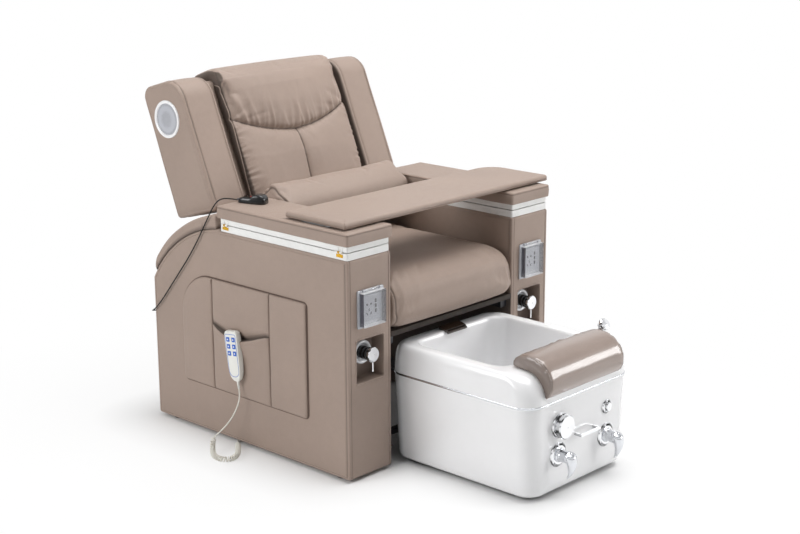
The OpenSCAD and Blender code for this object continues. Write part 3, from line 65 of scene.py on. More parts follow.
def make_camera():
    yaw, pitch, roll = (math.radians(a) for a in CAMERA_TURN)
    back = Vector((math.sin(yaw) * math.cos(pitch), -math.cos(yaw) * math.cos(pitch), math.sin(pitch)))
    right = Vector((0, 0, 1)).cross(back).normalized()
    up = back.cross(right)
    c, s = math.cos(roll), math.sin(roll)
    axes = Matrix((right * c + up * s, up * c - right * s, back)).transposed()
    data = bpy.data.cameras.new("camera")
    data.sensor_width = 36
    data.lens = FOCAL_PX / PHOTO_WIDTH_PX * data.sensor_width
    data.clip_start, data.clip_end = 0.1, 200
    cam = bpy.data.objects.new("camera", data)
    scene.collection.objects.link(cam)
    cam.matrix_world = Matrix.Translation(CAMERA_AT) @ axes.to_4x4()
    scene.camera = cam


def area_light(name, at, to, size, power):
    data = bpy.data.lights.new(name, "AREA")
    data.shape = "RECTANGLE"
    data.size, data.size_y = size
    data.energy = power
    o = bpy.data.objects.new(name, data)
    scene.collection.objects.link(o)
    o.location = at
    o.rotation_mode = "QUATERNION"
    o.rotation_quaternion = (Vector(to) - Vector(at)).to_track_quat("-Z", "Y")


def lin(text):
    c = [int(text[i : i + 2], 16) / 255 for i in (1, 3, 5)]
    return tuple(x / 12.92 if x <= 0.04045 else ((x + 0.055) / 1.055) ** 2.4 for x in c) + (1.0,)


def nd(nt, kind, ins=None, **props):
    n = nt.nodes.new("ShaderNode" + kind)
    for k, v in props.items():
        setattr(n, k, v)
    for k, v in (ins or {}).items():
        if isinstance(v, bpy.types.NodeSocket):
            nt.links.new(v, n.inputs[k])
        else:
            n.inputs[k].default_value = v
    return n


def calc(nt, op, a, b=0.0):
    return nd(nt, "Math", {0: a, 1: b}, operation=op).outputs[0]


def add(nt, a, b):
    return calc(nt, "ADD", a, b)


def mul(nt, a, b):
    return calc(nt, "MULTIPLY", a, b)


def mix(nt, fac, a, b, mode="MIX"):
    n = nd(nt, "Mix", {0: fac, 6: a, 7: b}, data_type="RGBA", blend_type=mode)
    return n.outputs[2]


def span(nt, value, a, b, lo=0.0, hi=1.0):
    n = nd(nt, "MapRange", {"Value": value, "From Min": a, "From Max": b, "To Min": lo, "To Max": hi})
    return n.outputs[0]


def noise(nt, co, scale, detail=2.0, rough=0.5, stretch=None):
    if stretch:
        co = nd(nt, "Mapping", {"Vector": co, "Scale": stretch}).outputs[0]
    ins = {"Vector": co, "Scale": scale, "Detail": detail, "Roughness": rough}
    return nd(nt, "TexNoise", ins).outputs["Fac"]


def grey_ramp(nt, value, stops, blue):
    """Greys with a touch of blue over a value from 0 to 1; stops are (place, tone)."""
    ramp = nd(nt, "ValToRGB", {"Fac": value})
    for i, (at, v) in enumerate(stops):
        e = ramp.color_ramp.elements[i] if i < 2 else ramp.color_ramp.elements.new(at)
        e.position, e.color = at, (v, v, v * blue, 1)
    return ramp.outputs[0]


def light_scene():
    world = bpy.data.worlds.new("studio")
    scene.world = world
    world.use_nodes = True
    nt = world.node_tree
    nt.nodes.clear()
    out = nd(nt, "OutputWorld")
    ray = nd(nt, "LightPath").outputs
    # what chrome and gloss see: a bright band of softboxes between a grey floor line and a darker top
    co = nd(nt, "TexCoord").outputs["Generated"]
    sep = nd(nt, "SeparateXYZ", {0: co}).outputs
    stops = [(0.0, 0.85), (0.47, 0.8), (0.50, 0.5), (0.56, 0.4), (0.60, 0.95), (0.74, 1.0), (0.80, 0.45),
             (1.0, 0.9)]
    band = grey_ramp(nt, span(nt, sep[2], -1.0, 1.0), stops, 1.01)
    # no lamp stands by the camera, so little comes from there
    by_camera = mul(nt, add(nt, sep[0], sep[1]), -0.7)
    fill = span(nt, by_camera, -0.2, 0.7, 0.36, 0.08)
    plain = nd(nt, "Background", {"Color": (1, 0.998, 0.995, 1), "Strength": fill})
    studio = nd(nt, "Background", {"Color": band, "Strength": 1.0})
    white = nd(nt, "Background", {"Color": (1, 1, 1, 1), "Strength": 1.0})
    a = nd(nt, "MixShader", {0: ray["Is Glossy Ray"], 1: plain.outputs[0], 2: studio.outputs[0]})
    seen = calc(nt, "MAXIMUM", ray["Is Camera Ray"], ray["Is Transmission Ray"])
    b = nd(nt, "MixShader", {0: seen, 1: a.outputs[0], 2: white.outputs[0]})
    nt.links.new(b.outputs[0], out.inputs["Surface"])
    area_light("top", (0.5, -0.3, 4.4), (0, 0.2, 0.5), (3.2, 3.0), 170)
    area_light("front", (4.0, -4.0, 1.9), (0, -0.2, 0.3), (2.2, 1.8), 108)
    area_light("side", (-4.2, 1.6, 2.2), (0, 0.3, 0.6), (2.4, 2.2), 98)


# middles and half sizes, in metres, of the two boxes that the chair stands on
FOOTPRINT = (((0, 0.44, 0), (0.45, 0.43, 9)), ((0, -0.22, 0), (0.2, 0.26, 9)))


def make_floor():
    """A pale floor that fades into plain white away from the chair; its glow, held back near the chair,
    paints a shadow round it.
    """
    bm = bmesh.new()
    bmesh.ops.create_grid(bm, x_segments=4, y_segments=4, size=30)
    me = bpy.data.meshes.new("floor")
    bm.to_mesh(me)
    bm.free()
    o = bpy.data.objects.new("floor", me)
    scene.collection.objects.link(o)
    o.location.z = -0.0004
    mat = bpy.data.materials.new("floor")
    mat.use_nodes = True
    nt = mat.node_tree
    shader = nt.nodes["Principled BSDF"]
    co = nd(nt, "TexCoord").outputs["Object"]
    gaps = []
    for middle, half in FOOTPRINT:
        out_of = nd(nt, "VectorMath", {0: co, 1: middle}, operation="SUBTRACT").outputs[0]
        out_of = nd(nt, "VectorMath", {0: out_of}, operation="ABSOLUTE").outputs[0]
        out_of = nd(nt, "VectorMath", {0: out_of, 1: half}, operation="SUBTRACT").outputs[0]
        out_of = nd(nt, "VectorMath", {0: out_of, 1: (0, 0, 0)}, operation="MAXIMUM").outputs[0]
        gaps.append(nd(nt, "VectorMath", {0: out_of}, operation="LENGTH").outputs["Value"])
    # painted shadow: within about a quarter metre of the chair's footprint the glow gives way to the plain
    # floor; the floor also glows onto the chair at a fifth of its strength
    far = calc(nt, "MINIMUM", *gaps)
    near = calc(nt, "POWER", span(nt, far, 0.0, 0.24), 0.75)
    shown = add(nt, mul(nt, near, 0.86), span(nt, far, 0.2, 1.0, 0.0, 0.14))
    seen = nd(nt, "LightPath").outputs["Is Camera Ray"]
    lit = mul(nt, shown, span(nt, seen, 0.0, 1.0, 0.2, 1.0))
    fine = noise(nt, co, 90.0, 3.0)
    shader.inputs["Base Color"].default_value = lin("#F4F4F4")
    nt.links.new(span(nt, fine, 0.3, 0.7, 0.5, 0.62), shader.inputs["Roughness"])
    shader.inputs["Specular IOR Level"].default_value = 0.12
    glow = nd(nt, "Emission", {"Color": (1, 1, 1, 1), "Strength": 1.0})
    out = nt.nodes["Material Output"]
    both = nd(nt, "MixShader", {0: lit, 1: shader.outputs[0], 2: glow.outputs[0]})
    nt.links.new(both.outputs[0], out.inputs["Surface"])
    me.materials.append(mat)


# ---------------------------------------------------------------- materials


def new_material(name):
    mat = bpy.data.materials.new(name)
    mat.use_nodes = True
    nt = mat.node_tree
    return mat, nt, nt.nodes["Principled BSDF"], nd(nt, "TexCoord").outputs["Object"]


def shade(nt, b, colour, tone):
    """The colour times a grey tone."""
    rgb = nd(nt, "CombineColor", {0: tone, 1: tone, 2: tone}).outputs[0]
    nt.links.new(mix(nt, 1.0, lin(colour), rgb, "MULTIPLY"), b.inputs["Base Color"])


def relief(nt, b, height, strength, distance, under=None):
    """Bump by height; with under it returns a normal to build on."""
    ins = {"Height": height, "Strength": strength, "Distance": distance}
    bump = nd(nt, "Bump", ins | ({"Normal": under} if under else {})).outputs[0]
    if b:
        nt.links.new(bump, b.inputs["Normal"])
    return bump


def fix(b, values):
    """Plain values for the shader's inputs."""
    for key, value in values.items():
        b.inputs[key].default_value = value


def leather(name, colour, rough=0.5, coat=0.0, grain=1.0, spec=0.42, soft_bump=0.35):
    mat, nt, b, co = new_material(name)
    pebble = nd(nt, "TexVoronoi", {"Vector": co, "Scale": 560.0, "Randomness": 1.0},
                feature="DISTANCE_TO_EDGE")
    pores = noise(nt, co, 2200.0, 2.0)
    soft = noise(nt, co, 46.0, 4.0, 0.6)
    broad = noise(nt, co, 4.2, 2.0)
    seam_and_shade = nd(nt, "Attribute", attribute_name="seam_and_shade").outputs["Fac"]
    cells = span(nt, pebble.outputs["Distance"], 0.0, 0.22)
    tone = add(nt, span(nt, broad, 0.3, 0.7, 0.955, 1.03), span(nt, soft, 0.3, 0.7, -0.03, 0.03))
    tone = mul(nt, tone, span(nt, cells, 0.0, 1.0, 0.93, 1.01))
    # painted shade: this attribute darkens the leather to as little as 0.3 of its colour in seam lines,
    # hollows, undersides and gaps between parts
    tone = mul(nt, tone, span(nt, seam_and_shade, 0.0, 1.0, 1.0, 0.3))
    shade(nt, b, colour, tone)
    wear = add(nt, span(nt, soft, 0.3, 0.7, rough - 0.06, rough + 0.07),
                mul(nt, seam_and_shade, 0.25))
    nt.links.new(wear, b.inputs["Roughness"])
    fine = add(nt, cells, mul(nt, pores, 0.35))
    relief(nt, b, soft, soft_bump, 0.0012, relief(nt, None, fine, 0.5 * grain, 0.0003))
    fix(b, {"Specular IOR Level": spec, "Coat Weight": coat, "Coat Roughness": 0.09,
            "Sheen Weight": 0.06 if coat < 0.1 else 0.0, "Sheen Roughness": 0.5})
    return mat


def plastic(name, colour, rough=0.25, coat=0.3, texture=0.2, spec=0.5, dirt=0.05):
    mat, nt, b, co = new_material(name)
    smear = noise(nt, co, 22.0, 3.0, 0.6)
    broad = noise(nt, co, 3.0, 2.0)
    skin = noise(nt, co, 400.0, 3.0)
    tone = span(nt, broad, 0.3, 0.7, 1.0 - dirt * 0.5, 1.0)
    tone = mul(nt, tone, span(nt, smear, 0.3, 0.7, 1 - dirt, 1.0))
    shade(nt, b, colour, tone)
    nt.links.new(span(nt, smear, 0.3, 0.7, rough * 0.85, rough * 1.2), b.inputs["Roughness"])
    relief(nt, b, skin, texture, 0.0002)
    fix(b, {"Specular IOR Level": spec, "Coat Weight": coat, "Coat Roughness": 0.06})
    return mat


def metal(name, colour, rough=0.12, brushed=0.0, flag_reflections=False):
    mat, nt, b, co = new_material(name)
    smear = noise(nt, co, 60.0, 3.0, 0.6)
    fine = noise(nt, co, 900.0, 2.0, 0.5, (1, 1, 0.06) if brushed else None)
    tone = span(nt, smear, 0.3, 0.7, 0.94, 1.0)
    if flag_reflections:
        # painted reflection: the dark flags of a studio, laid into the colour by the way the metal faces
        way = nd(nt, "SeparateXYZ", {0: nd(nt, "TexCoord").outputs["Normal"]}).outputs
        bend = add(nt, way[2], mul(nt, way[0], 0.35))
        stops = [(0.0, 0.6), (0.2, 0.55), (0.27, 0.1), (0.32, 0.1), (0.37, 0.9), (0.47, 1.0), (0.58, 0.95),
                 (0.63, 0.1), (0.68, 0.14), (0.72, 1.0)]
        tone = mul(nt, tone, grey_ramp(nt, span(nt, bend, -1.2, 1.2), stops, 1.02))
    shade(nt, b, colour, tone)
    nt.links.new(span(nt, smear, 0.3, 0.7, rough * 0.7, rough * 1.4), b.inputs["Roughness"])
    relief(nt, b, fine, 0.05 + brushed, 0.0001)
    b.inputs["Metallic"].default_value = 1.0
    return mat


def clear_cover(name):
    mat, nt, b, co = new_material(name)
    smear = noise(nt, co, 40.0, 3.0)
    nt.links.new(span(nt, smear, 0.3, 0.7, 0.03, 0.1), b.inputs["Roughness"])
    pale = mix(nt, smear, (0.9, 0.91, 0.93, 1), (0.95, 0.95, 0.96, 1))
    relief(nt, b, noise(nt, co, 120.0, 2.0), 0.08, 0.0005)
    # painted shade and reflection: faces turned towards x are painted near black, and faces turned away
    # from y grow opaque so their pale colour shows, for the dark edges and bright rims of clear plastic
    way = nd(nt, "SeparateXYZ", {0: nd(nt, "TexCoord").outputs["Normal"]}).outputs
    side_on = calc(nt, "SUBTRACT", 1.0, calc(nt, "ABSOLUTE", way[1]))
    walls = span(nt, calc(nt, "ABSOLUTE", way[0]), 0.5, 0.95)
    nt.links.new(mix(nt, walls, pale, (0.10, 0.10, 0.13, 1)), b.inputs["Base Color"])
    nt.links.new(span(nt, side_on, 0.0, 1.0, 0.10, 0.62), b.inputs["Alpha"])
    b.inputs["Coat Weight"].default_value = 0.6
    return mat


def board_wood(name):
    mat, nt, b, co = new_material(name)
    rings = noise(nt, co, 30.0, 4.0, 0.6, (1, 0.08, 1))
    chips = noise(nt, co, 500.0, 3.0, 0.7)
    grain = add(nt, rings, mul(nt, chips, 0.4))
    nt.links.new(mix(nt, span(nt, grain, 0.4, 0.9), lin("#3A2E25"), lin("#241C16")), b.inputs["Base Color"])
    nt.links.new(span(nt, chips, 0.3, 0.7, 0.6, 0.8), b.inputs["Roughness"])
    relief(nt, b, grain, 0.3, 0.0004)
    return mat


def perforated(name, colour):
    mat, nt, b, co = new_material(name)
    holes = nd(nt, "TexVoronoi", {"Vector": co, "Scale": 420.0, "Randomness": 0.15}, feature="F1")
    hole = span(nt, holes.outputs["Distance"], 0.22, 0.34)
    mottle = noise(nt, co, 30.0)
    pale = mix(nt, mottle, lin(colour), tuple(0.93 * x for x in lin(colour)[:3]) + (1,))
    nt.links.new(mix(nt, hole, lin("#6E6D72"), pale), b.inputs["Base Color"])
    nt.links.new(span(nt, mottle, 0.3, 0.7, 0.4, 0.55), b.inputs["Roughness"])
    relief(nt, b, hole, 0.6, 0.0006)
    return mat


hide = leather("leather_taupe", "#A28F83", 0.5)
# darker leather of the sunken seam tubes and the side pads' welts: partly their own darker leather, partly
# painted shade of the seam grooves and of the gap round each pad
seam_shade_hide = leather("leather_seam_shade", "#6E5A4F", 0.6)
hide_calf = leather("leather_calf", "#96857B", 0.34, 0.8, 0.18, 0.5, 0.1)
thread = leather("thread", "#8C7566", 0.6, 0.0, 0.3)
white = plastic("white_gloss", "#F3F3F4", 0.2, 0.45, 0.02, 0.5, 0.015)
band_white = plastic("white_band", "#F0F0EE", 0.42, 0.05, 0.12)
off_white = plastic("handset_white", "#EBEBE5", 0.38, 0.1, 0.3)
blue = plastic("key_blue", "#2F66C8", 0.35, 0.2, 0.1)
red = plastic("key_red", "#B02A26", 0.35, 0.2, 0.1)
grey = plastic("socket_grey", "#ABADB5", 0.4, 0.1, 0.2)
pale_grey = plastic("socket_frame", "#C9CBD1", 0.25, 0.4, 0.1)
rose_white = plastic("rose_bright", "#EEF0F4", 0.12, 0.8, 0.02)
grey_dark = plastic("grey_dark", "#55565C", 0.4, 0.1, 0.2)
black = plastic("black_plastic", "#1D1D20", 0.45, 0.05, 0.5)
gloss_black = plastic("black_gloss", "#0B0B0D", 0.18, 0.35, 0.03, 0.35)
rubber = plastic("rubber", "#1B1B1B", 0.75, 0.0, 0.6)
cord_pale = plastic("cord_pale", "#EAE8DF", 0.5, 0.05, 0.2)
cord_dark = plastic("cord_dark", "#0C0C0E", 0.55, 0.0, 0.3, 0.3)
# chrome holds painted reflections of studio flags in its colour; chrome_soft is plain
chrome = metal("chrome", "#F2F3F5", 0.06, flag_reflections=True)
chrome_soft = metal("chrome_soft", "#DFE1E5", 0.14)
brass = metal("brass", "#D9A93A", 0.2)
steel = metal("steel", "#8B8C8E", 0.36, 0.2)
dark_steel = plastic("painted_steel", "#26262A", 0.45, 0.1, 0.3)
cover = clear_cover("clear_cover")
wood = board_wood("board")
grille = perforated("speaker_grille", "#B9BBC2")
smoked = plastic("smoked_glass", "#3A2C24", 0.08, 0.9, 0.02, 0.7)

# ---------------------------------------------------------------- mesh tools


def make(name, pts, faces, mat, body=None, hides=(), slot=None):
    me = bpy.data.meshes.new(name)
    me.from_pydata((np.asarray(pts, float) * MM).tolist(), [], [tuple(int(i) for i in f) for f in faces])
    me.update()
    o = bpy.data.objects.new(name, me)
    scene.collection.objects.link(o)
    me.materials.append(mat)
    me.shade_smooth()
    settle(o, body, hides)
    return o


def settle(o, body=None, hides=()):
    if body:
        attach(o, body)
    if hides:
        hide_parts(*hides)


def grid(P, close=False):
    m, n = P.shape[:2]
    cols = n if close else n - 1
    faces = [(i * n + j, i * n + (j + 1) % n, (i + 1) * n + (j + 1) % n, (i + 1) * n + j)
             for i in range(m - 1) for j in range(cols)]
    return P.reshape(-1, 3), faces


def loft(rings):
    """A closed solid through rings of equally many points, with flat ends."""
    P = np.asarray(rings, float)
    m, n = P.shape[:2]
    pts, faces = grid(P, True)
    faces += [tuple(range(n - 1, -1, -1)), tuple(range((m - 1) * n, m * n))]
    return pts, faces


def fix_normals(o, join_at=0.0):
    bm = bmesh.new()
    bm.from_mesh(o.data)
    if join_at:
        bmesh.ops.remove_doubles(bm, verts=bm.verts, dist=join_at)
    bmesh.ops.recalc_face_normals(bm, faces=bm.faces)
    bm.to_mesh(o.data)
    bm.free()
    return o


def solid(*args):
    """make, with the faces turned outwards."""
    return fix_normals(make(*args))


def weld(o):
    """Joins the seam of a surface that closes on itself."""
    return fix_normals(o, 1e-6)


SHARP_ANGLE = 42  # degrees; edges that turn more stay sharp


def bake(o):
    """Puts a piece's modifiers into its mesh."""
    dg = bpy.context.evaluated_depsgraph_get()
    dg.update()
    me = bpy.data.meshes.new_from_object(o.evaluated_get(dg))
    o.modifiers.clear()
    old = o.data
    o.data = me
    bpy.data.meshes.remove(old)
    me.shade_smooth()
    me.set_sharp_from_angle(angle=math.radians(SHARP_ANGLE))


def coords(o):
    co = np.zeros(len(o.data.vertices) * 3, np.float32)
    o.data.vertices.foreach_get("co", co)
    return co.reshape(-1, 3).astype(float) / MM


def set_coords(o, co):
    o.data.vertices.foreach_set("co", (co * MM).astype(np.float32).ravel())
    o.data.update()


def normals(o):
    no = np.zeros(len(o.data.vertices) * 3, np.float32)
    o.data.vertex_normals.foreach_get("vector", no)
    return no.reshape(-1, 3).astype(float)


def carve(o, fn):
    """fn(points in mm, normals) gives each point's move along its normal and its darkening from 0 to 1: the
    seam lines and the painted shade of hollows and gaps.
    """
    co, no = coords(o), normals(o)
    move, seam_and_shade = fn(co, no)
    set_coords(o, co + no * move[:, None])
    layer = o.data.attributes.new("seam_and_shade", "FLOAT", "POINT")
    layer.data.foreach_set("value", clamp(seam_and_shade).astype(np.float32))


def corner_round(q, n=5):
    """A polygon of [a, b, radius] corners, each rounded by n chords."""
    out = []
    m = len(q)
    for i, (x, y, r) in enumerate(q):
        p = np.array([x, y], float)
        if r <= 0:
            out.append(p)
            continue
        a = np.array(q[i - 1][:2], float) - p
        b = np.array(q[(i + 1) % m][:2], float) - p
        a, b = a / np.linalg.norm(a), b / np.linalg.norm(b)
        half = math.acos(max(-1, min(1, a @ b))) / 2
        mid = (a + b) / np.linalg.norm(a + b)
        c = p + mid * r / math.sin(half)
        f, t = p + a * r / math.tan(half) - c, p + b * r / math.tan(half) - c
        for k in range(n + 1):
            d = f * (n - k) + t * k
            out.append(c + r * d / np.linalg.norm(d))
    return np.array(out)


def rounded_box(a0, a1, b0, b1, r, n=5):
    return corner_round([(a0, b0, r), (a1, b0, r), (a1, b1, r), (a0, b1, r)], n)


def inset(poly, d):
    """A counter-clockwise polygon with each corner moved in by d."""
    a = poly - np.roll(poly, 1, 0)
    b = np.roll(poly, -1, 0) - poly
    a /= np.maximum(np.linalg.norm(a, axis=1), 1e-9)[:, None]
    b /= np.maximum(np.linalg.norm(b, axis=1), 1e-9)[:, None]
    na, nb = np.stack([-a[:, 1], a[:, 0]], 1), np.stack([-b[:, 1], b[:, 0]], 1)
    n = na + nb
    n /= np.maximum(np.linalg.norm(n, axis=1), 1e-9)[:, None]
    return poly + n * (d / np.maximum((n * na).sum(1), 0.5))[:, None]


def refill(poly, step):
    """The polygon with points no further apart than step."""
    out = []
    for p, q in zip(poly, np.roll(poly, -1, 0)):
        k = max(1, int(math.ceil(np.linalg.norm(q - p) / step)))
        out += [p + (q - p) * i / k for i in range(k)]
    return np.array(out)


def across(poly, x):
    """A flat polygon at one x; level puts it at one z and facing at one y."""
    return np.column_stack([np.full(len(poly), float(x)), poly])


def level(poly, z):
    return np.column_stack([poly, np.full(len(poly), float(z))])


def facing(poly, y):
    return np.column_stack([poly[:, 0], np.full(len(poly), float(y)), poly[:, 1]])


def closed(p):
    """The points with the first one once more at the end."""
    return np.concatenate([p, p[:1]])


def clamp(x):
    return np.clip(x, 0, 1)


def bell(x, width):
    return np.exp(-((x / width) ** 2))


def spline(p, k):
    """A smooth line through the points, with k points a span."""
    p = np.asarray(p, float)
    out = []
    for i in range(len(p) - 1):
        a, b, c, d = p[max(i - 1, 0)], p[i], p[i + 1], p[min(i + 2, len(p) - 1)]
        for j in range(k):
            t = j / k
            cubic = t**3 * (1.5 * b - 1.5 * c + (d - a) / 2)
            out.append(b + t / 2 * (c - a) + t * t * (a - 2.5 * b + 2 * c - d / 2) + cubic)
    return np.array(out + [p[-1]])


def unit(v):
    return v / np.maximum(np.linalg.norm(v, axis=-1, keepdims=True), 1e-12)


def tangents(p):
    q = np.concatenate([p[:1], p, p[-1:]])
    return unit(q[2:] - q[:-2])


def tube(path, r, sides=8, first=(0, 0, 1)):
    """Points and faces of a closed tube along path; r is one radius or one a point."""
    path = np.asarray(path, float)
    t = tangents(path)
    r = np.broadcast_to(np.asarray(r, float), (len(path),))
    n = np.asarray(first, float)
    rings = []
    a = np.linspace(0, 2 * math.pi, sides, endpoint=False)
    for p, s, q in zip(path, t, r):
        n = n - (n @ s) * s
        if np.linalg.norm(n) < 1e-6:
            n = np.cross(s, (1, 0.3, 0.2))
        n = n / np.linalg.norm(n)
        rings.append(p + q * (np.cos(a)[:, None] * n + np.sin(a)[:, None] * np.cross(s, n)))
    return loft(rings)


def join(parts):
    """One list of points and faces from several."""
    pts, faces, base = [], [], 0
    for p, f in parts:
        pts.append(np.asarray(p, float))
        faces += [tuple(i + base for i in q) for q in f]
        base += len(p)
    return np.concatenate(pts), faces


def both(part):
    """A part of the right side and its mirror image."""
    p, f = part
    p = np.asarray(p, float)
    return join([(p, f), (p * [-1, 1, 1], [tuple(reversed(q)) for q in f])])


def surface_of(objects):
    """A function hit(point, direction) that gives the nearest surface's point and normal, in mm."""
    trees = []
    for o in objects:
        bm = bmesh.new()
        bm.from_mesh(o.data)
        trees.append(BVHTree.FromBMesh(bm))
        bm.free()

    def hit(p, d):
        best = None
        d = Vector(d).normalized()
        for t in trees:
            loc, no, _, dist = t.ray_cast(Vector(p) * MM - d * 0.08, d, 0.2)
            if loc is not None and (best is None or dist < best[2]):
                best = (np.array(loc) / MM, np.array(no), dist)
        return best

    return hit


def on_surface(hit, path, d, lift=0.0):
    """The path's points laid on the surface, seen along d, and the normals there."""
    out, ns = [], []
    for p in path:
        h = hit(p, d)
        if h:
            out.append(h[0] + h[1] * lift)
            ns.append(h[1])
    return np.array(out), np.array(ns)


def stitches(path, ns, pitch=5.0, length=3.2, r=0.42, side=0.0):
    """Short threads along a path on a surface."""
    path = np.asarray(path, float)
    seg = np.linalg.norm(np.diff(path, axis=0), axis=1)
    s = np.concatenate([[0], np.cumsum(seg)])
    parts = []
    at = pitch / 2
    while at < s[-1] - length:
        ab = [np.array([np.interp(q, s, path[:, k]) for k in range(3)]) for q in (at, at + length)]
        n = unit(np.array([np.interp(at, s, ns[:, k]) for k in range(3)]))
        t = unit(ab[1] - ab[0])
        a, b = (p + np.cross(t, n) * side for p in ab)
        slope = t * length * 0.2
        line = [a - n * r, a + slope + n * r * 0.5, b - slope + n * r * 0.5, b - n * r]
        parts.append(tube(line, r, 5, n))
        at += pitch
    return join(parts)


CLOTH_PRESSURE = 4.0
CLOTH_FRAMES = 20


def soft(name, node, mat, body, voxel=5.0, cap=12.0, shrink=1.5, hold=None, fill=0.8):
    """A cushion made from its CAD solid: remeshed, swollen as cloth and capped."""
    o = bpy.data.objects.new(name, nodes[node].data.copy())
    scene.collection.objects.link(o)
    o.data.materials.clear()
    o.data.materials.append(mat)
    bm = bmesh.new()
    bm.from_mesh(o.data)
    bmesh.ops.remove_doubles(bm, verts=bm.verts, dist=1e-5)
    bm.to_mesh(o.data)
    bm.free()
    r = o.modifiers.new("grid", "REMESH")
    r.mode, r.voxel_size, r.use_smooth_shade = "VOXEL", voxel * MM, True
    bake(o)
    co = coords(o)
    set_coords(o, co - normals(o) * shrink)
    rest = coords(o)
    held = hold(rest) if hold else np.zeros(len(rest))
    group = o.vertex_groups.new(name="held")
    for w in (0.25, 0.5, 0.75, 1.0):
        ids = np.flatnonzero(np.round(held * 4) == w * 4)
        if len(ids):
            group.add(ids.tolist(), w, "REPLACE")
    cloth = o.modifiers.new("cloth", "CLOTH")
    s = cloth.settings
    s.quality, s.mass = 5, 0.3
    s.use_pressure, s.uniform_pressure_force = True, CLOTH_PRESSURE
    s.tension_stiffness = s.compression_stiffness = 12
    s.shear_stiffness, s.bending_stiffness = 4, 0.4
    s.vertex_group_mass = "held"
    s.effector_weights.gravity = 0
    cloth.collision_settings.use_collision = False
    cloth.point_cache.frame_start, cloth.point_cache.frame_end = 1, CLOTH_FRAMES
    for f in range(1, CLOTH_FRAMES + 1):
        scene.frame_set(f)
    dg = bpy.context.evaluated_depsgraph_get()
    e = o.evaluated_get(dg).to_mesh()
    got = np.zeros(len(rest) * 3, np.float32)
    e.vertices.foreach_get("co", got)
    o.modifiers.clear()
    move = got.reshape(-1, 3).astype(float) / MM - rest
    far = np.linalg.norm(move, axis=1)
    move *= (np.tanh(far / cap) * cap / np.maximum(far, 1e-6))[:, None]
    set_coords(o, rest + move)
    scene.frame_set(1)
    o.vertex_groups.clear()
    m = o.modifiers.new("fine", "SUBSURF")
    m.levels = m.render_levels = 1
    bake(o)
    settle(o, body, [node])
    return o


# ---------------------------------------------------------------- cords

WHITE_ROUTE = [[-486.5, 453.5, 197], [-486.5, 452.3, 188], [-487.5, 451, 177], [-491, 451, 160],
               [-497, 457, 135], [-506, 467, 108], [-518, 480, 83], [-531, 493, 63], [-541, 503, 50]]
CURL_ROUTE = [[-541, 503, 50], [-548, 509, 40], [-561, 500, 26], [-578, 480, 12], [-592, 458, 9.3],
              [-600, 434, 9.3], [-596, 410, 9.3], [-578, 397, 9.3], [-556, 400, 9.3], [-537, 412, 9.3],
              [-519, 430, 9.3], [-501, 450, 9.3], [-484, 470, 9.3], [-472, 484, 7.5], [-462, 496, 4.5],
              [-453, 506, 4], [-447, 512, 5.5], [-444, 515, 10], [-444, 515, 15]]
BLACK_ROUTE = [[-384.1, 552.25, 765], [-387, 560, 765.5], [-395, 571, 767], [-409, 580, 769],
               [-427, 583, 768], [-446, 581, 761], [-461, 583, 744], [-467, 594, 720], [-467, 613, 692],
               [-467, 640, 651], [-467, 672, 606], [-467, 708, 560], [-467, 748, 513], [-467, 790, 464],
               [-467, 832, 415], [-467, 866, 380], [-466, 886, 364], [-461, 900, 357], [-451, 906, 354],
               [-442, 902, 353], [-440, 892, 353]]


def curl_points():
    """The curly cord's centre line: a helix round its route, straight at both ends."""
    axis = spline(CURL_ROUTE, 6)
    s = np.concatenate([[0], np.cumsum(np.linalg.norm(np.diff(axis, axis=0), axis=1))])
    r0, pitch, start, end = 6.8, 9.2, 8.0, s[-1] - 56

    def at(q):
        return np.array([np.interp(q, s, axis[:, k]) for k in range(3)])

    out = []
    turns = np.linspace(start, end, int((end - start) / pitch * 18))
    steps = np.concatenate([np.linspace(0, start, 3, endpoint=False), turns,
                            np.linspace(end, s[-1], 14)[1:]])
    for q in steps:
        grow = max(0.0, min(1.0, (q - start) / (1.5 * pitch), (end - q) / (1.5 * pitch)))
        grow = grow * grow * (3 - 2 * grow)
        t = at(min(q + 4, s[-1])) - at(max(q - 4, 0))
        t = t / np.linalg.norm(t)
        n = np.cross(t, (0, 0, 1))
        n = n / max(np.linalg.norm(n), 1e-6)
        b = np.cross(n, t)
        a = 2 * math.pi * (q - start) / pitch
        out.append(at(q) + r0 * grow * (math.cos(a) * n + math.sin(a) * b))
    return np.array(out)


def make_cords():
    pts = np.concatenate([spline(WHITE_ROUTE, 5), curl_points()[1:]])
    data = bpy.data.curves.new("cord_white", "CURVE")
    data.dimensions = "3D"
    line = data.splines.new("POLY")
    line.points.add(len(pts) - 1)
    line.points.foreach_set("co", np.column_stack([pts * MM, np.ones(len(pts))]).ravel())
    line.use_smooth = True
    data.bevel_depth = 2.2 * MM
    data.bevel_resolution = 3
    data.use_fill_caps = True
    data.materials.append(cord_pale)
    o = bpy.data.objects.new("cord_white", data)
    scene.collection.objects.link(o)
    settle(o, "base", ["cord_straight", "cord_curly"])
    path = spline(BLACK_ROUTE, 6)
    b = make("cord_black_lead", *tube(path, 2.0, 12, (1, 0, 0)), cord_dark)
    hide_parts("cord_black")
    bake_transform(b)


make_camera()
light_scene()
make_floor()
make_cords()

# ---------------------------------------------------------------- arms

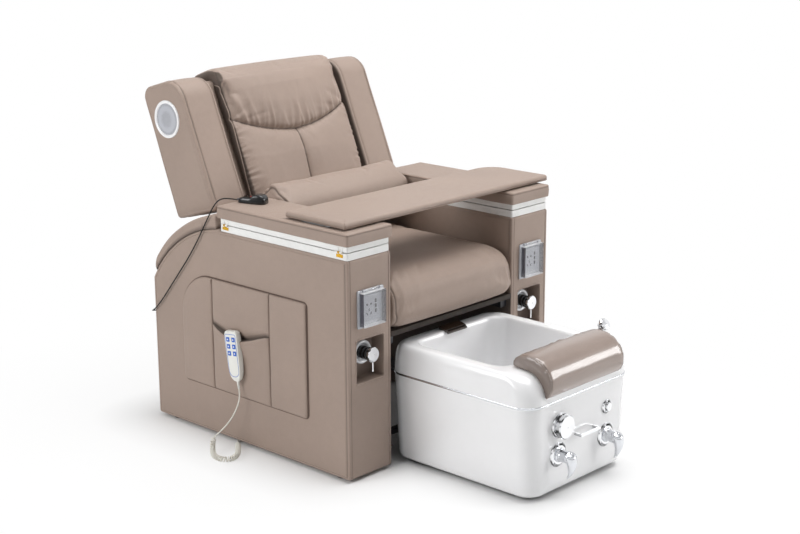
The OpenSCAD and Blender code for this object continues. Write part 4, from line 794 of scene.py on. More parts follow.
# the arms: their middle, the rear curve's centre and radius in y and z, and (x, inset) over the width,
# with a groove at each seam
ARM_X = 370.0
ARC_Y, ARC_Z, ARC_R = 512.0, 248.0, 438.0
ARM_STATIONS = [(280, 6), (280.4, 3.4), (281.8, 1.3), (284.5, 0.2), (288, 0), (289.6, 0.3), (290.6, 1.6),
                (291.6, 0.3), (293.5, 0), (330, 0), (370, 0), (410, 0), (446.5, 0), (448.4, 0.3),
                (449.4, 1.6), (450.4, 0.3), (452, 0), (455.5, 0.2), (458.2, 1.3), (459.6, 3.4), (460, 6)]
SEAMS_X = (290.6, 449.4)
# the limits of the mixers' niche in x and z, and of a lid and the board in x and y; the mixers' axis
NICHE = (313.5, 426.5, 302.0, 433.0)
MIXER = (ARM_X, 0, 383)
LID = (276, 464, -4, 561)
BOARD = (-443, 494, 25, 274)


def arm_profile():
    lower = corner_round([(0, 10, 8), (888, 10, 8), (888, 679, 0), (0, 679, 8)], 4)
    a = np.linspace(math.asin((888 - ARC_Y) / ARC_R), math.asin((552 - ARC_Y) / ARC_R), 44)
    arc = np.column_stack([ARC_Y + ARC_R * np.sin(a), ARC_Z + ARC_R * np.cos(a)])
    return refill(np.concatenate([lower[:10], arc, [[552, 679]], lower[11:]]), 16)


def cut_out(o, cutters):
    """Takes the cutters' solids out of a piece."""
    for c in cutters:
        m = o.modifiers.new("cut", "BOOLEAN")
        m.operation, m.solver, m.object = "DIFFERENCE", "EXACT", c
    bake(o)
    for c in cutters:
        bpy.data.objects.remove(c)


def prism_y(x0, x1, z0, z1, r, y0, y1):
    q = rounded_box(x0, x1, z0, z1, r, 5)
    return loft([facing(q, y) for y in (y0, y1)])


def flip(part, left):
    """The part itself, or for the left side its mirror image."""
    p, f = part
    p = np.asarray(p, float)
    return (p * [-1, 1, 1], [tuple(reversed(q)) for q in f]) if left else (p, f)


def flat_end(poly, put, x, seam=-1.0):
    """Rings that close a flat end with a seam along its rim, so that only the rim shades as rounded."""
    c = poly.mean(0)
    return [put(c + (poly - c) * k, x + dx) for k, dx in
            ((0.993, 0), (0.9905, seam), (0.988, 0), (0.97, 0), (0.9, 0), (0.7, 0), (0.4, 0), (0.12, 0))]


def make_arm(side):
    left = side == "left"
    profile = arm_profile()
    rings = [across(inset(profile, d), x) for x, d in ARM_STATIONS]
    ends = [flat_end(inset(profile, 6), across, x, dx) for x, dx in ((280, 1.1), (460, -1.1))]
    rings = ends[0][::-1] + rings + ends[1]
    o = solid("arm_cover_" + side, *flip(loft(rings), left), hide)
    x0, x1, z0, z1 = NICHE
    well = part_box("storage_boxes")[0].z / MM
    hole = solid("hole", *flip(prism_y(x0 - 4, x1 + 4, z0 - 4, z1 + 4, 9, -10, 49), left), hide)
    room = loft([level(rounded_box(298, 442, 62, 528, 2, 2), z) for z in (well - 0.3, 700)])
    cut_out(o, [hole, solid("room", *flip(room, left), hide)])

    def seams(co, no):
        x = np.abs(co[:, 0])
        near = np.min([np.abs(x - s) for s in SEAMS_X], axis=0)
        seam_and_shade = np.maximum(bell(near, 1.1), bell(co[:, 1] - 10.2, 1.6) * ((x > 458.4) | (x < 281.6)))
        # painted shade: the inner faces below the seat (x under 281.6, z under 418) are darkened in full;
        # the seam lines elsewhere at 0.6
        seam_and_shade = np.maximum(seam_and_shade, (x < 281.6) & (co[:, 2] < 418))
        puff = 0.35 * np.sin(co[:, 2] / 41 + x) * (np.abs(no[:, 1]) > 0.9)
        return puff, np.where(co[:, 2] < 418, np.where(x < 281.6, seam_and_shade, 0.6 * seam_and_shade), 0.6 * seam_and_shade)

    carve(o, seams)
    settle(o, "base", ["arm_body_" + side])
    # the niche's own skin: a raised rim round the mouth, its walls and its rear
    steps = [(5.6, 49), (5.6, 0.4), (5.4, -0.5), (4.2, -1.3), (2.4, -1.5), (0.9, -0.8), (0, 1.2), (-0.2, 4),
             (-0.2, 30), (-0.3, 45.5), (-1.2, 47.4), (-4, 47.9)]
    lining = [(refill(rounded_box(x0 - d, x1 + d, z0 - d, z1 + d, 6 + d, 6), 7), y) for d, y in steps]
    n = len(lining[1][0])
    rings = []
    for q, y in lining:
        s = np.linspace(0, len(q), n, endpoint=False)
        q = np.column_stack([np.interp(s, np.arange(len(q) + 1), np.append(q[:, k], q[0, k]))
                             for k in (0, 1)])
        rings.append(facing(q, y))
    m = solid("niche_lining_" + side, *flip(loft(rings), left), hide, "base")

    def folds(co, no):
        x, z = np.abs(co[:, 0]), co[:, 2]
        edge = bell(co[:, 1] + 0.5, 4)
        corner = sum(np.exp(-((x - a) ** 2 + (z - b) ** 2) / 500) for a, b in ((x0, z1), (x1, z0)))
        wave = np.sin((x + z) / 3.1) * corner * 0.9 + np.sin(x / 9 + z / 7) * 0.25
        # painted shade: the lining darkens deeper into the niche and at its rear, and along the edge of its
        # mouth
        dark = np.where(co[:, 1] > 44, 0.62, 0.45 * clamp((co[:, 1] - 4) / 36))
        return wave * edge, dark + 0.6 * bell(co[:, 1] - 0.3, 0.4)

    carve(m, folds)


# the side pad: its box, the radius of its upper rear corner and of the others, the two upright seams
# of the pocket, and the pocket's mouth as y and z
PAD = dict(y0=170.0, y1=740.0, z0=162.0, z1=523.0, r=135.0, seam=(330.0, 592.0))
CORNER = 14.0
MOUTH = ([330, 344, 372, 400, 440, 494, 530, 560, 578, 592],
         [384, 383, 374, 364, 353, 352, 358, 367, 375, 378])


def pad_top(y):
    r = PAD["r"]
    past = max(y - (PAD["y1"] - r), 0.0)
    return PAD["z1"] - (r - math.sqrt(max(r**2 - past**2, 0)))


def uneven(*spans):
    """One row of places from spans (start, end, count) that follow each other."""
    return np.concatenate([np.linspace(*q)[i > 0 :] for i, q in enumerate(spans)])


def make_side_pad(side):
    y0, y1, z0, z1, r = (PAD[k] for k in ("y0", "y1", "z0", "z1", "r"))
    sa, sb = PAD["seam"]
    at_seams = [s + np.array([-5, -3, -1.6, -0.8, 0, 0.8, 1.6, 3, 5]) for s in (sa, sb)]
    ys = np.unique(np.concatenate([np.linspace(y0, y0 + 14, 8), np.linspace(y0 + 14, y1 - 14, 150),
                                   np.linspace(y1 - 14, y1 - 0.01, 9), *at_seams]))
    low = uneven((0, 0.05, 7), (0.05, 0.93, 34), (0.93, 1, 12))
    high = uneven((0, 0.12, 14), (0.12, 0.92, 20), (0.92, 1, 8))
    rows = []
    for y in ys:
        top = pad_top(y)
        mouth = float(np.interp(y, *MOUTH)) if sa < y < sb else (384.0 if y <= sa else 378.0)
        mouth = min(mouth, z0 + (top - z0) * 0.72)
        a = z0 + (mouth - z0) * low
        b = mouth + 0.35 + (top - mouth - 0.35) * high
        zs = np.concatenate([a, b])
        inside = max(0.0, math.sin(math.pi * (y - sa) / (sb - sa))) if sa < y < sb else 0.0
        gape = inside**0.55
        span_y = (y0, sa) if y < sa else (sa, sb) if y < sb else (sb, y1)
        field = math.sin(math.pi * (y - span_y[0]) / (span_y[1] - span_y[0])) ** 0.6
        k = (zs - z0) / (top - z0)
        d = np.minimum(np.minimum(y - y0, y1 - y), np.minimum(zs - z0, top - zs))
        if y > y1 - r:
            d = np.where(zs > z1 - r, np.minimum(d, r - np.hypot(y - (y1 - r), zs - (z1 - r))), d)
        low_z, high_z = z0 + CORNER - zs, zs - z1 + CORNER
        front_y, rear_y = y0 + CORNER - y, y - y1 + CORNER
        for dz, dy in ((low_z, front_y), (high_z, front_y), (low_z, rear_y)):
            d = np.where((dz > 0) & (dy > 0), np.minimum(d, CORNER - np.hypot(dz, dy)), d)
        outside = d < -0.01
        d = np.maximum(d, 0)
        edge = np.sqrt(clamp(1 - (1 - np.minimum(d / 9, 1)) ** 2))
        h = 8.5 * edge + 5.5 * field * np.sin(math.pi * clamp(k)) ** 0.6 * np.minimum(d / 30, 1)
        seam = sum(bell(y - s, 2.2) * 4.5 + bell(y - s, 9) * 1.6 for s in (sa, sb))
        h -= seam * edge
        n = len(a)
        below, above = mouth - zs[:n], zs[n:] - mouth
        # the pocket's swollen panel with a hem below its mouth, and the hollow above it
        h[:n] += gape * (10.5 * bell(below, 42) - 2.2 * bell(below, 1.6)
                         + 0.9 * (np.abs(below - 7) < 5) - 0.9 * bell(below - 12.5, 1.2))
        h[n:] -= gape * (12.5 * bell(above, 17))
        h[:n] += gape * 1.2 * bell(below, 60) * np.sin(y / 8.5 + below / 30) * bell(y - 345, 40)
        # where the handset pushes the panel out
        h += (8.5 * gape * bell(y - 476, 33) * clamp((zs - 190) / 70)
              * clamp((mouth + 1 - zs) / 12))
        x = 460.2 + np.where(outside, -1.2, np.maximum(h, -0.05))
        rows.append(np.column_stack([x, np.full(len(zs), y), zs]))
    P = np.array(rows)
    m, n = P.shape[:2]
    pts, faces = grid(P)
    rim = [i * n for i in range(m)] + [(m - 1) * n + j for j in range(1, n)]
    rim += [i * n + n - 1 for i in range(m - 2, -1, -1)] + list(range(n - 2, 0, -1))
    faces.append(tuple(rim))
    left = side == "left"
    o = solid("side_pad_" + side, *flip((pts, faces), left), hide, "base")

    def creases(co, no):
        near = np.min([np.abs(co[:, 1] - s) for s in (sa, sb)], axis=0)
        slit = co[:, 2] - np.interp(co[:, 1], *MOUTH)
        pocket = (co[:, 1] > sa + 3) & (co[:, 1] < sb - 3)
        # painted shade: a band just over the pocket's mouth, fading upwards, and every part of the pad
        # within about 2 mm of the arm (its rim and the deep hollow over the pocket) are darkened
        dark = ((slit > -0.2) & (slit < 14)) * np.exp(-np.maximum(slit, 0) / 8) * pocket
        seam_and_shade = np.max([bell(near, 1.3), 1.0 * (np.abs(co[:, 0]) < 462.4), 1.3 * dark], axis=0)
        return 0.25 * np.sin(co[:, 1] / 23 + co[:, 2] / 31), seam_and_shade

    carve(o, creases)
    e, q = 1.2, CORNER + 1.2
    corners = [(y0 - e, z0 - e, q), (y1 + e, z0 - e, q), (y1 + e, z1 + e, r + e), (y0 - e, z1 + e, q)]
    line = refill(corner_round(corners, 14), 9)
    welt = tube(across(closed(line), 460.7), 1.5, 6, (1, 0, 0))
    # the dark welt paints the shade of the gap round the pad
    make("pad_welt_" + side, *flip(welt, left), seam_shade_hide, "base")
    return o


def make_cap(side):
    a0, a1 = math.radians(7.2), math.radians(55)
    tip = 1 - 0.12 * (1 - np.sin(np.linspace(0, math.pi / 2, 14)[1:]))
    ks = np.concatenate([[0, 0.004, 0.012], np.linspace(0.03, 0.88, 40), tip])
    rings = []
    for k in ks:
        a = a0 + (a1 - a0) * k
        t = 43 + (25 - 43) * k
        end = math.sqrt(max(1 - max((k - 0.88) / 0.12, 0) ** 2, 0.004))
        t *= end
        e = 2.5 if k < 0.003 else 1.0 if k < 0.01 else 0
        side_in = 3.5 * (1 - end)
        x0, x1 = 280 + e + side_in, 461.6 - e - side_in
        rr = min(9, t * 0.45)
        q = corner_round([(x0, 0, 0), (x1, 0, 0), (x1 - 0.4, t - e, rr), (x0 + 0.4, t - e, rr)], 6)
        q = refill_to(q, 44)
        over = clamp((q[:, 0] - x0) / (x1 - x0))
        crown = 2.2 * np.sin(math.pi * over) * (q[:, 1] > t * 0.5) * end
        rad = ARC_R + 0.3 + q[:, 1] + crown
        rings.append(np.column_stack([q[:, 0], ARC_Y + rad * math.sin(a), ARC_Z + rad * math.cos(a)]))
    o = solid("arm_cap_" + side, *flip(loft(rings), side == "left"), hide, "base")

    def seam(co, no):
        h = np.hypot(co[:, 1] - ARC_Y, co[:, 2] - ARC_Z) - ARC_R - 0.3
        x = np.abs(co[:, 0])
        flat = (x > 452) | (x < 289)
        c = bell(h - 6, 1.3) * flat
        # painted shade: the cap's underside where it lies on the arm is darkened; the rest is the seam line
        return -0.9 * c + 0.35 * np.sin(x / 19) * np.sin(co[:, 2] / 17), 0.7 * c + 0.8 * (h < 0.8)

    carve(o, seam)
    return o


def refill_to(poly, n):
    """The closed polygon with n points, its own corners kept where they are dense."""
    seg = np.linalg.norm(np.roll(poly, -1, 0) - poly, axis=1)
    s = np.concatenate([[0], np.cumsum(seg)])
    q = closed(poly)
    want = n - len(poly)
    add = []
    share = np.floor(seg / seg.sum() * want).astype(int)
    share[np.argmax(seg)] += want - share.sum()
    for i, k in enumerate(share):
        add += [s[i] + seg[i] * j / (k + 1) for j in range(k + 1)]
    return np.column_stack([np.interp(add, s, q[:, c]) for c in (0, 1)])


def make_pads_of_lids(side):
    left = side == "left"
    steps = [(720, 3), (720.5, 1.2), (721.8, 0.3), (724, 0), (732, -0.5), (742, -0.6), (750, -0.1),
             (751.6, 0.2), (752.4, 0.9), (753.2, 0.2), (754.6, 0.4), (756.6, 1.5), (758.2, 3.4), (759, 6),
             (759.25, 9), (759.5, 24), (759.6, 50), (759.6, 80)]
    base = refill(rounded_box(*LID, 7, 6), 9)
    rings = [level(inset(base, d) if d < 7 else shrink_rect(base, LID, d), z) for z, d in steps]
    o = solid("lid_cushion_" + side, *flip(loft(rings), left), hide, "lid_" + side, ["lid_pad_" + side])

    def seam(co, no):
        z = co[:, 2]
        c = bell(z - 752.4, 0.9)
        corner = np.exp(-(((np.abs(co[:, 0]) - LID[1]) ** 2 + (co[:, 1] - LID[2]) ** 2) / 30))
        wob = 0.3 * np.sin(co[:, 1] / 21 + z / 9) * (z < 752) + 0.2 * np.sin(co[:, 0] / 17)
        # painted shade: the cushion's lowest band, where it meets the lid, is darkened; the rest is the
        # seam line
        return wob - 0.5 * corner * np.sin(z / 2.2), 0.75 * c + 0.4 * (z < 721)

    carve(o, seam)
    loop = level(inset(base, 0.1), 755.2)
    ns = unit(np.column_stack([loop[:, :2] - inset(base, 1)[:, :2], np.full(len(loop), 0.25)]))
    rim = stitches(closed(loop), closed(ns), 5.5, 3.4, 0.45)
    make("lid_stitches_" + side, *flip(rim, left), thread, "lid_" + side)


def shrink_rect(q, limits, d):
    """The polygon scaled about the middle of its limits, which move in by d."""
    x0, x1, y0, y1 = limits
    mid, half = np.array([x0 + x1, y0 + y1]) / 2, np.array([x1 - x0, y1 - y0]) / 2
    return mid + (q - mid) * (half - d) / half


def make_board():
    x0, x1, y0, y1 = BOARD
    base = refill(corner_round([(x0, y0, 6), (x1, y0, 12), (x1, y1, 72), (x0, y1, 6)], 12), 12)
    steps = [(764.1, 5), (764.2, 3.2), (765, 1.6), (766.5, 0.6), (768.3, 0.1), (769.2, 0.7), (770.1, 0.1),
             (773, 0), (776.5, 0.5), (779.4, 1.8), (781.3, 4.2), (782.2, 8)]
    rings = [level(inset(base, d), z) for z, d in steps]
    for z, d in ((782.7, 16), (783.0, 40), (783.1, 80)):
        rings.append(level(shrink_rect(inset(base, 5), (x0 + 5, x1 - 5, y0 + 5, y1 - 5), d - 5), z))
    knuckles = ((89.5, 119.2), (179.8, 209.5))
    plates = [loft([level(corner_round([(-438.2, a, 1), (-396, a, 3), (-396, b, 1), (-438.2, b, 1)], 3), z)
                    for z in (762.4, 764)]) for a, b in knuckles]
    barrels = [tube([(-436, a, 761.5), (-436, b, 761.5)], 2.2, 14, (1, 0, 0)) for a, b in knuckles]
    o = solid("board_upholstery", *loft(rings), hide, "work_board", ["work_board"])

    def seam(co, no):
        c = bell(co[:, 2] - 769.2, 0.8)
        wob = 0.35 * np.sin(co[:, 0] / 37) * np.sin(co[:, 1] / 29)
        corner = np.exp(-((co[:, 0] - x0) ** 2 + (co[:, 1] - y0) ** 2) / 60)
        return wob - 0.5 * corner * np.sin(co[:, 2] / 1.8), 0.6 * c

    carve(o, seam)
    make("board_hinge", *join([*plates, *barrels]), steel, "work_board")
    feet = [tube([(ARM_X, y, z) for z in (759.6, 761.5, 764.2)], [9.4, 10, 10], 20, (1, 0, 0))
            for y in (89.5, 209.5)]
    make("board_rests", *join(feet), rubber, "work_board")
    loop = closed(level(inset(base, 0.15), 767.0))
    out = unit(np.column_stack([base - inset(base, 1), np.full(len(base), -0.2)]))
    make("board_stitches", *stitches(loop, closed(out), 6, 3.6, 0.45), thread, "work_board")


# ---------------------------------------------------------------- seat and back

# the backrest's own axes in y and z: u up along it, v to its rear, from a datum point
E_U, E_V = np.array([0.39555, 0.91845]), np.array([0.91845, -0.39555])
DATUM = np.array([631.2, 747.9])
SPEAKER = (304.0, 104.0)
WING_SEAMS = (291.0, 400.8)


def back_yz(u, v):
    return DATUM + np.asarray(u)[..., None] * E_U + np.asarray(v)[..., None] * E_V


def uv_of(co):
    p = co[:, 1:3] - DATUM
    return p @ E_U, p @ E_V


def draw(rng, *ranges):
    """One even random draw from each range."""
    return [rng.uniform(*r) for r in ranges]


def rand_waves(seed, count, low, high):
    """Wavelength, phase, a spare draw that keeps the order of draws, and weight of each wave."""
    rng = np.random.RandomState(seed)
    return [draw(rng, (low, high), (0, 2 * math.pi), (-0.5, 0.5), (0.5, 1)) for _ in range(count)]


def make_seat():
    def held(co):
        return np.where(co[:, 2] < 470, 1.0, 0.0)

    o = soft("seat_pad", "seat_cushion", hide, "base", voxel=7, cap=8, shrink=3, hold=held, fill=0.85)
    waves = rand_waves(3, 7, 30, 80)

    def seams(co, no):
        x, y, z = co.T
        ax = np.abs(x)
        front = (z > 434) & ((no[:, 1] < -0.25) | (no[:, 2] > 0.3))
        c = bell(ax - 264, 1.6) * front
        soft_dip = bell(ax - 264, 7) * front
        wob = 0.16 * sum(w * np.sin(ax / lam + ph) * np.sin(y / (lam * 1.3) + z / lam + ph)
                         for lam, ph, _, w in waves)
        side = bell(ax - 270, 14) * np.sin((y + z) / 5.2) * 0.5
        return wob + side * front - 2.6 * c - 1.3 * soft_dip, 0.9 * c

    carve(o, seams)


def seam_u(x):
    return 185 + 65 * (np.abs(x) / 255) ** 1.8


def make_back_cushion():
    def held(co):
        u, v = uv_of(co)
        inner = (v > 22) & (u < 370)
        s = bell(u - seam_u(co[:, 0]), 4) * (v < 0)
        return np.where(inner, 1.0, clamp(s * 1.2))

    o = soft("back_cushion_cover", "back_cushion", hide, "backrest", voxel=7, cap=9, shrink=1.5, hold=held,
             fill=0.75)
    co = coords(o)
    u, v = uv_of(co)
    lower = -0.15 * np.maximum(u - 395, 0)
    fade = clamp((u - 30) / 80) * clamp((430 - u) / 90) * clamp((8 - v) / 20)
    crown = -9 * clamp(1 - (co[:, 0] / 250) ** 2) * fade
    co[:, 1:] += lower[:, None] * E_U + crown[:, None] * E_V
    set_coords(o, co)
    rng = np.random.RandomState(5)
    # folds above the cross seam and along the side piping: place, width, reach, lean and height
    gathers = [draw(rng, (x - 5, x + 5), (4.2, 8), (45, 120), (-0.45, 0.2), (3.2, 6.4))
               for x in range(-228, 230, 19)]
    puckers = [draw(rng, (u - 4, u + 4), (3.5, 6), (16, 42), (-0.3, 0.5), (2.0, 4.0))
               for u in range(-40, 250, 15)]

    def seams(co, no):
        x = co[:, 0]
        u, v = uv_of(co)
        front = (v < 4) & (u < 380)
        d = u - seam_u(x)
        line = bell(d, 1.9) * front
        dip = bell(d, 9) * front
        low = bell(x, 1.9) * front * (d < 0)
        low_dip = bell(x, 10) * front * (d < 0)
        edge = bell(np.abs(x) - 249, 1.6) * (v < 8)
        wave = np.zeros(len(x))
        for at, w, reach, lean, amp in gathers:
            up = np.maximum(d, 0)
            c = x - at - lean * up
            wave += amp * bell(c, w * (1 + up / 110)) * bell(up, reach) * (d > 0) * np.minimum(up / 7, 1)
            wave += 0.35 * amp * bell(c, w) * bell(d, 16) * (d < 0)
        for at, w, reach, lean, amp in puckers:
            inn = 251 - np.abs(x)
            c = u - at - lean * inn
            wave += amp * bell(c, w * (1 + inn / 60)) * bell(inn, reach) * np.minimum(np.abs(inn) / 4, 1)
        wave *= front
        slack = 1.6 * np.sin(x / 61 + 1.2) * np.sin(u / 52 + x / 90) * front
        # painted shade: the cushion's sides, in the gap by the wings, are darkened
        sides = clamp((np.abs(no[:, 0]) - 0.55) * 4) * (v > -22)
        grooves = 3.2 * line + 2.4 * dip + 2.6 * low + 1.8 * low_dip + 1.8 * edge
        return wave + slack - grooves, clamp(line + low + 0.8 * edge + 0.9 * sides)

    carve(o, seams)
    hit = surface_of([o])

    def laid(line, lift):
        """Points (x, u) laid on the cushion's front, with the normals there."""
        return on_surface(hit, [(x, *back_yz(float(u), -40.0)) for x, u in line], (0, *E_V), lift)

    cross = [(x, seam_u(x)) for x in np.linspace(-252, 252, 130)]
    upright = [(0.0, u) for u in np.linspace(-20, 183, 60)]
    rows = [laid(line, -0.5) for line in (cross, upright)]
    make("back_seams", *join([tube(p, 0.9, 6) for p, _ in rows]), seam_shade_hide, "backrest")
    edges = [laid([(x, u) for u in np.linspace(-20, 372, 90)], 0.6)[0] for x in (-250.5, 250.5)]
    make("back_piping", *join([tube(p, 1.9, 8) for p in edges]), hide, "backrest")
    threads = [stitches(p + n * 0.9, n, 5.5, 3.4, 0.42, side=4.0) for p, n in rows]
    make("back_stitches", *join(threads), thread, "backrest")


def make_pillow():
    o = soft("lumbar_roll", "lumbar_pillow", hide, "backrest", voxel=6, cap=8, shrink=3, fill=0.8,
             hold=lambda co: np.where(uv_of(co)[1] > -27, 1.0, 0.0))
    waves = rand_waves(8, 8, 18, 50)
    rng = np.random.RandomState(9)
    ends = [draw(rng, (-60, 160), (5, 10), (20, 60), (-0.5, 0.5), (0.8, 2.2)) for _ in range(26)]

    def seams(co, no):
        x = co[:, 0]
        ax = np.abs(x)
        u, v = uv_of(co)
        edge = bell(ax - 266, 1.8)
        around = u * 0.8 - v
        wave = np.zeros(len(x))
        for at, w, reach, lean, amp in ends:
            inn = 268 - ax
            wave += (amp * bell(around - at - lean * inn, w) * bell(inn, reach)
                     * np.minimum(np.abs(inn) / 6, 1))
        wob = 0.3 * sum(w * np.sin(x / (lam * 1.8) + ph) * np.sin(around / lam + ph)
                        for lam, ph, _, w in waves)
        return wave + wob - 2.2 * edge, 0.8 * edge

    carve(o, seams)


def make_wings():
    plan = refill(corner_round([(-24, 3, 14), (408, 0, 75), (431, 185, 34), (-2, 196, 10)], 8), 9)
    stations = [(278, 12), (279.4, 6.5), (281.8, 3), (285.4, 1), (288.6, 0.3), (290, 0.6), (291, 2.6),
                (292, 0.6), (294, 0.2), (306, -0.6), (325, -1.2), (345, -1.4), (365, -1.2), (385, -0.7),
                (396, -0.2), (399.6, 0.2), (400.8, 2.8), (402, 0.3), (404.6, 0.5), (407.4, 1.8),
                (409.2, 4.4), (410, 8)]

    def ring(q, x):
        return across(back_yz(q[:, 0], q[:, 1]), x)

    rings = flat_end(inset(plan, 12), ring, 278, 0)[::-1] + [ring(inset(plan, d), x) for x, d in stations]
    rings += flat_end(inset(plan, 8), ring, 410)
    o = solid("wing_covers", *both(loft(rings)), hide, "backrest", ["back_wings"], "leather")
    waves = rand_waves(21, 7, 30, 80)
    rng = np.random.RandomState(4)
    tucks = [draw(rng, (280, 408), (3, 6), (10, 34), (1.4, 3.0)) for _ in range(26)]

    def seams(co, no):
        ax = np.abs(co[:, 0])
        u, v = uv_of(co)
        strip = np.abs(no[:, 0]) < 0.6
        line = bell(np.min([np.abs(ax - s) for s in WING_SEAMS], axis=0), 1.1) * strip
        wob = 0.22 * sum(w * np.sin(ax / lam + ph) * np.sin(u / (lam * 1.2) + v / lam + ph * 2)
                         for lam, ph, _, w in waves)
        tuck = sum(a * bell(ax - x - 0.2 * (u + 20), w) * bell(u + 24, r) for x, w, r, a in tucks)
        bend = bell(u - 370, 60) * (v < 90) * strip * bell(ax - 400, 14) * np.sin((u - v) / 3.4) * 0.5
        apart = 1 - np.exp(-(((u - SPEAKER[0]) ** 2 + (v - SPEAKER[1]) ** 2) / 110**2))
        ends = clamp(u / 40 + 0.6) * clamp((430 - u) / 60)
        cheek = 2.4 * apart * (no[:, 0] * np.sign(co[:, 0]) > 0.9) * ends
        hem = bell(u + 22, 7)
        # painted shade: the wings' inner faces, by the cushion, are darkened
        inner_shade = clamp((284 - ax) / 4)
        gathered = hem * 1.2 * np.sin(ax / 2.6 + 2 * np.sin(ax / 9))
        move = (wob + bend + cheek + tuck * strip * (v < 160)) * (1 - 0.5 * hem) + gathered
        return move, np.maximum(0.9 * line, inner_shade)

    carve(o, seams)
    out = unit(plan - inset(plan, 1))
    ns = np.column_stack([np.zeros(len(plan)), out[:, :1] * E_U + out[:, 1:] * E_V])
    rows = [stitches(closed(ring(inset(plan, -0.5), x)), closed(ns), 5.5, 3.4, 0.42) for x in (396, 295.5)]
    make("wing_stitches", *both(join(rows)), thread, "backrest")


def revolve(profile, at, axis, n=40):
    """A closed solid of revolution: profile is (radius, height along axis)."""
    axis = unit(np.asarray(axis, float))
    a = np.array([0.0, 0, 1])
    a = unit(a - (a @ axis) * axis)
    b = np.cross(axis, a)
    t = np.linspace(0, 2 * math.pi, n, endpoint=False)
    ring = np.cos(t)[:, None] * a + np.sin(t)[:, None] * b
    return loft([np.asarray(at, float) + axis * h + ring * max(r, 0.01) for r, h in profile])


def make_speakers():
    y, z = back_yz(*SPEAKER)
    ring = [(49, -6), (60.3, -6), (60.5, 1.2), (59.8, 3.2), (58.4, 4.4), (56, 4.7), (53, 4.2), (50.8, 3.0),
            (49.6, 1.4), (49.2, -2)]
    net = [(49.3, -5), (49.3, 0.6), (47, 1.4), (38, 2.6), (24, 3.5), (10, 4.0), (0, 4.1)]
    rings, nets = [], []
    for s in (-1, 1):
        t = np.linspace(0, 2 * math.pi, 64, endpoint=False)
        P = np.array([[(s * (410.2 + h), y + r * math.cos(k), z + r * math.sin(k)) for r, h in ring]
                      for k in t])
        rings.append(grid(closed(P), True))
        nets.append(revolve(net, (s * 410.2, y, z), (s, 0, 0), 64))
    weld(make("speaker_rings", *join(rings), white, "backrest", ["speakers"]))
    solid("speaker_grilles", *join(nets), grille, "backrest")


# ---------------------------------------------------------------- basin


def plan_ring(hw, y0, y1, r, z):
    return level(rounded_box(-hw, hw, y0, y1, r, 14), z)


def shell(name, rings, mat, *rest):
    """A closed shell whose last ring joins its first."""
    return weld(make(name, *grid(closed(np.array(rings)), True), mat, *rest))


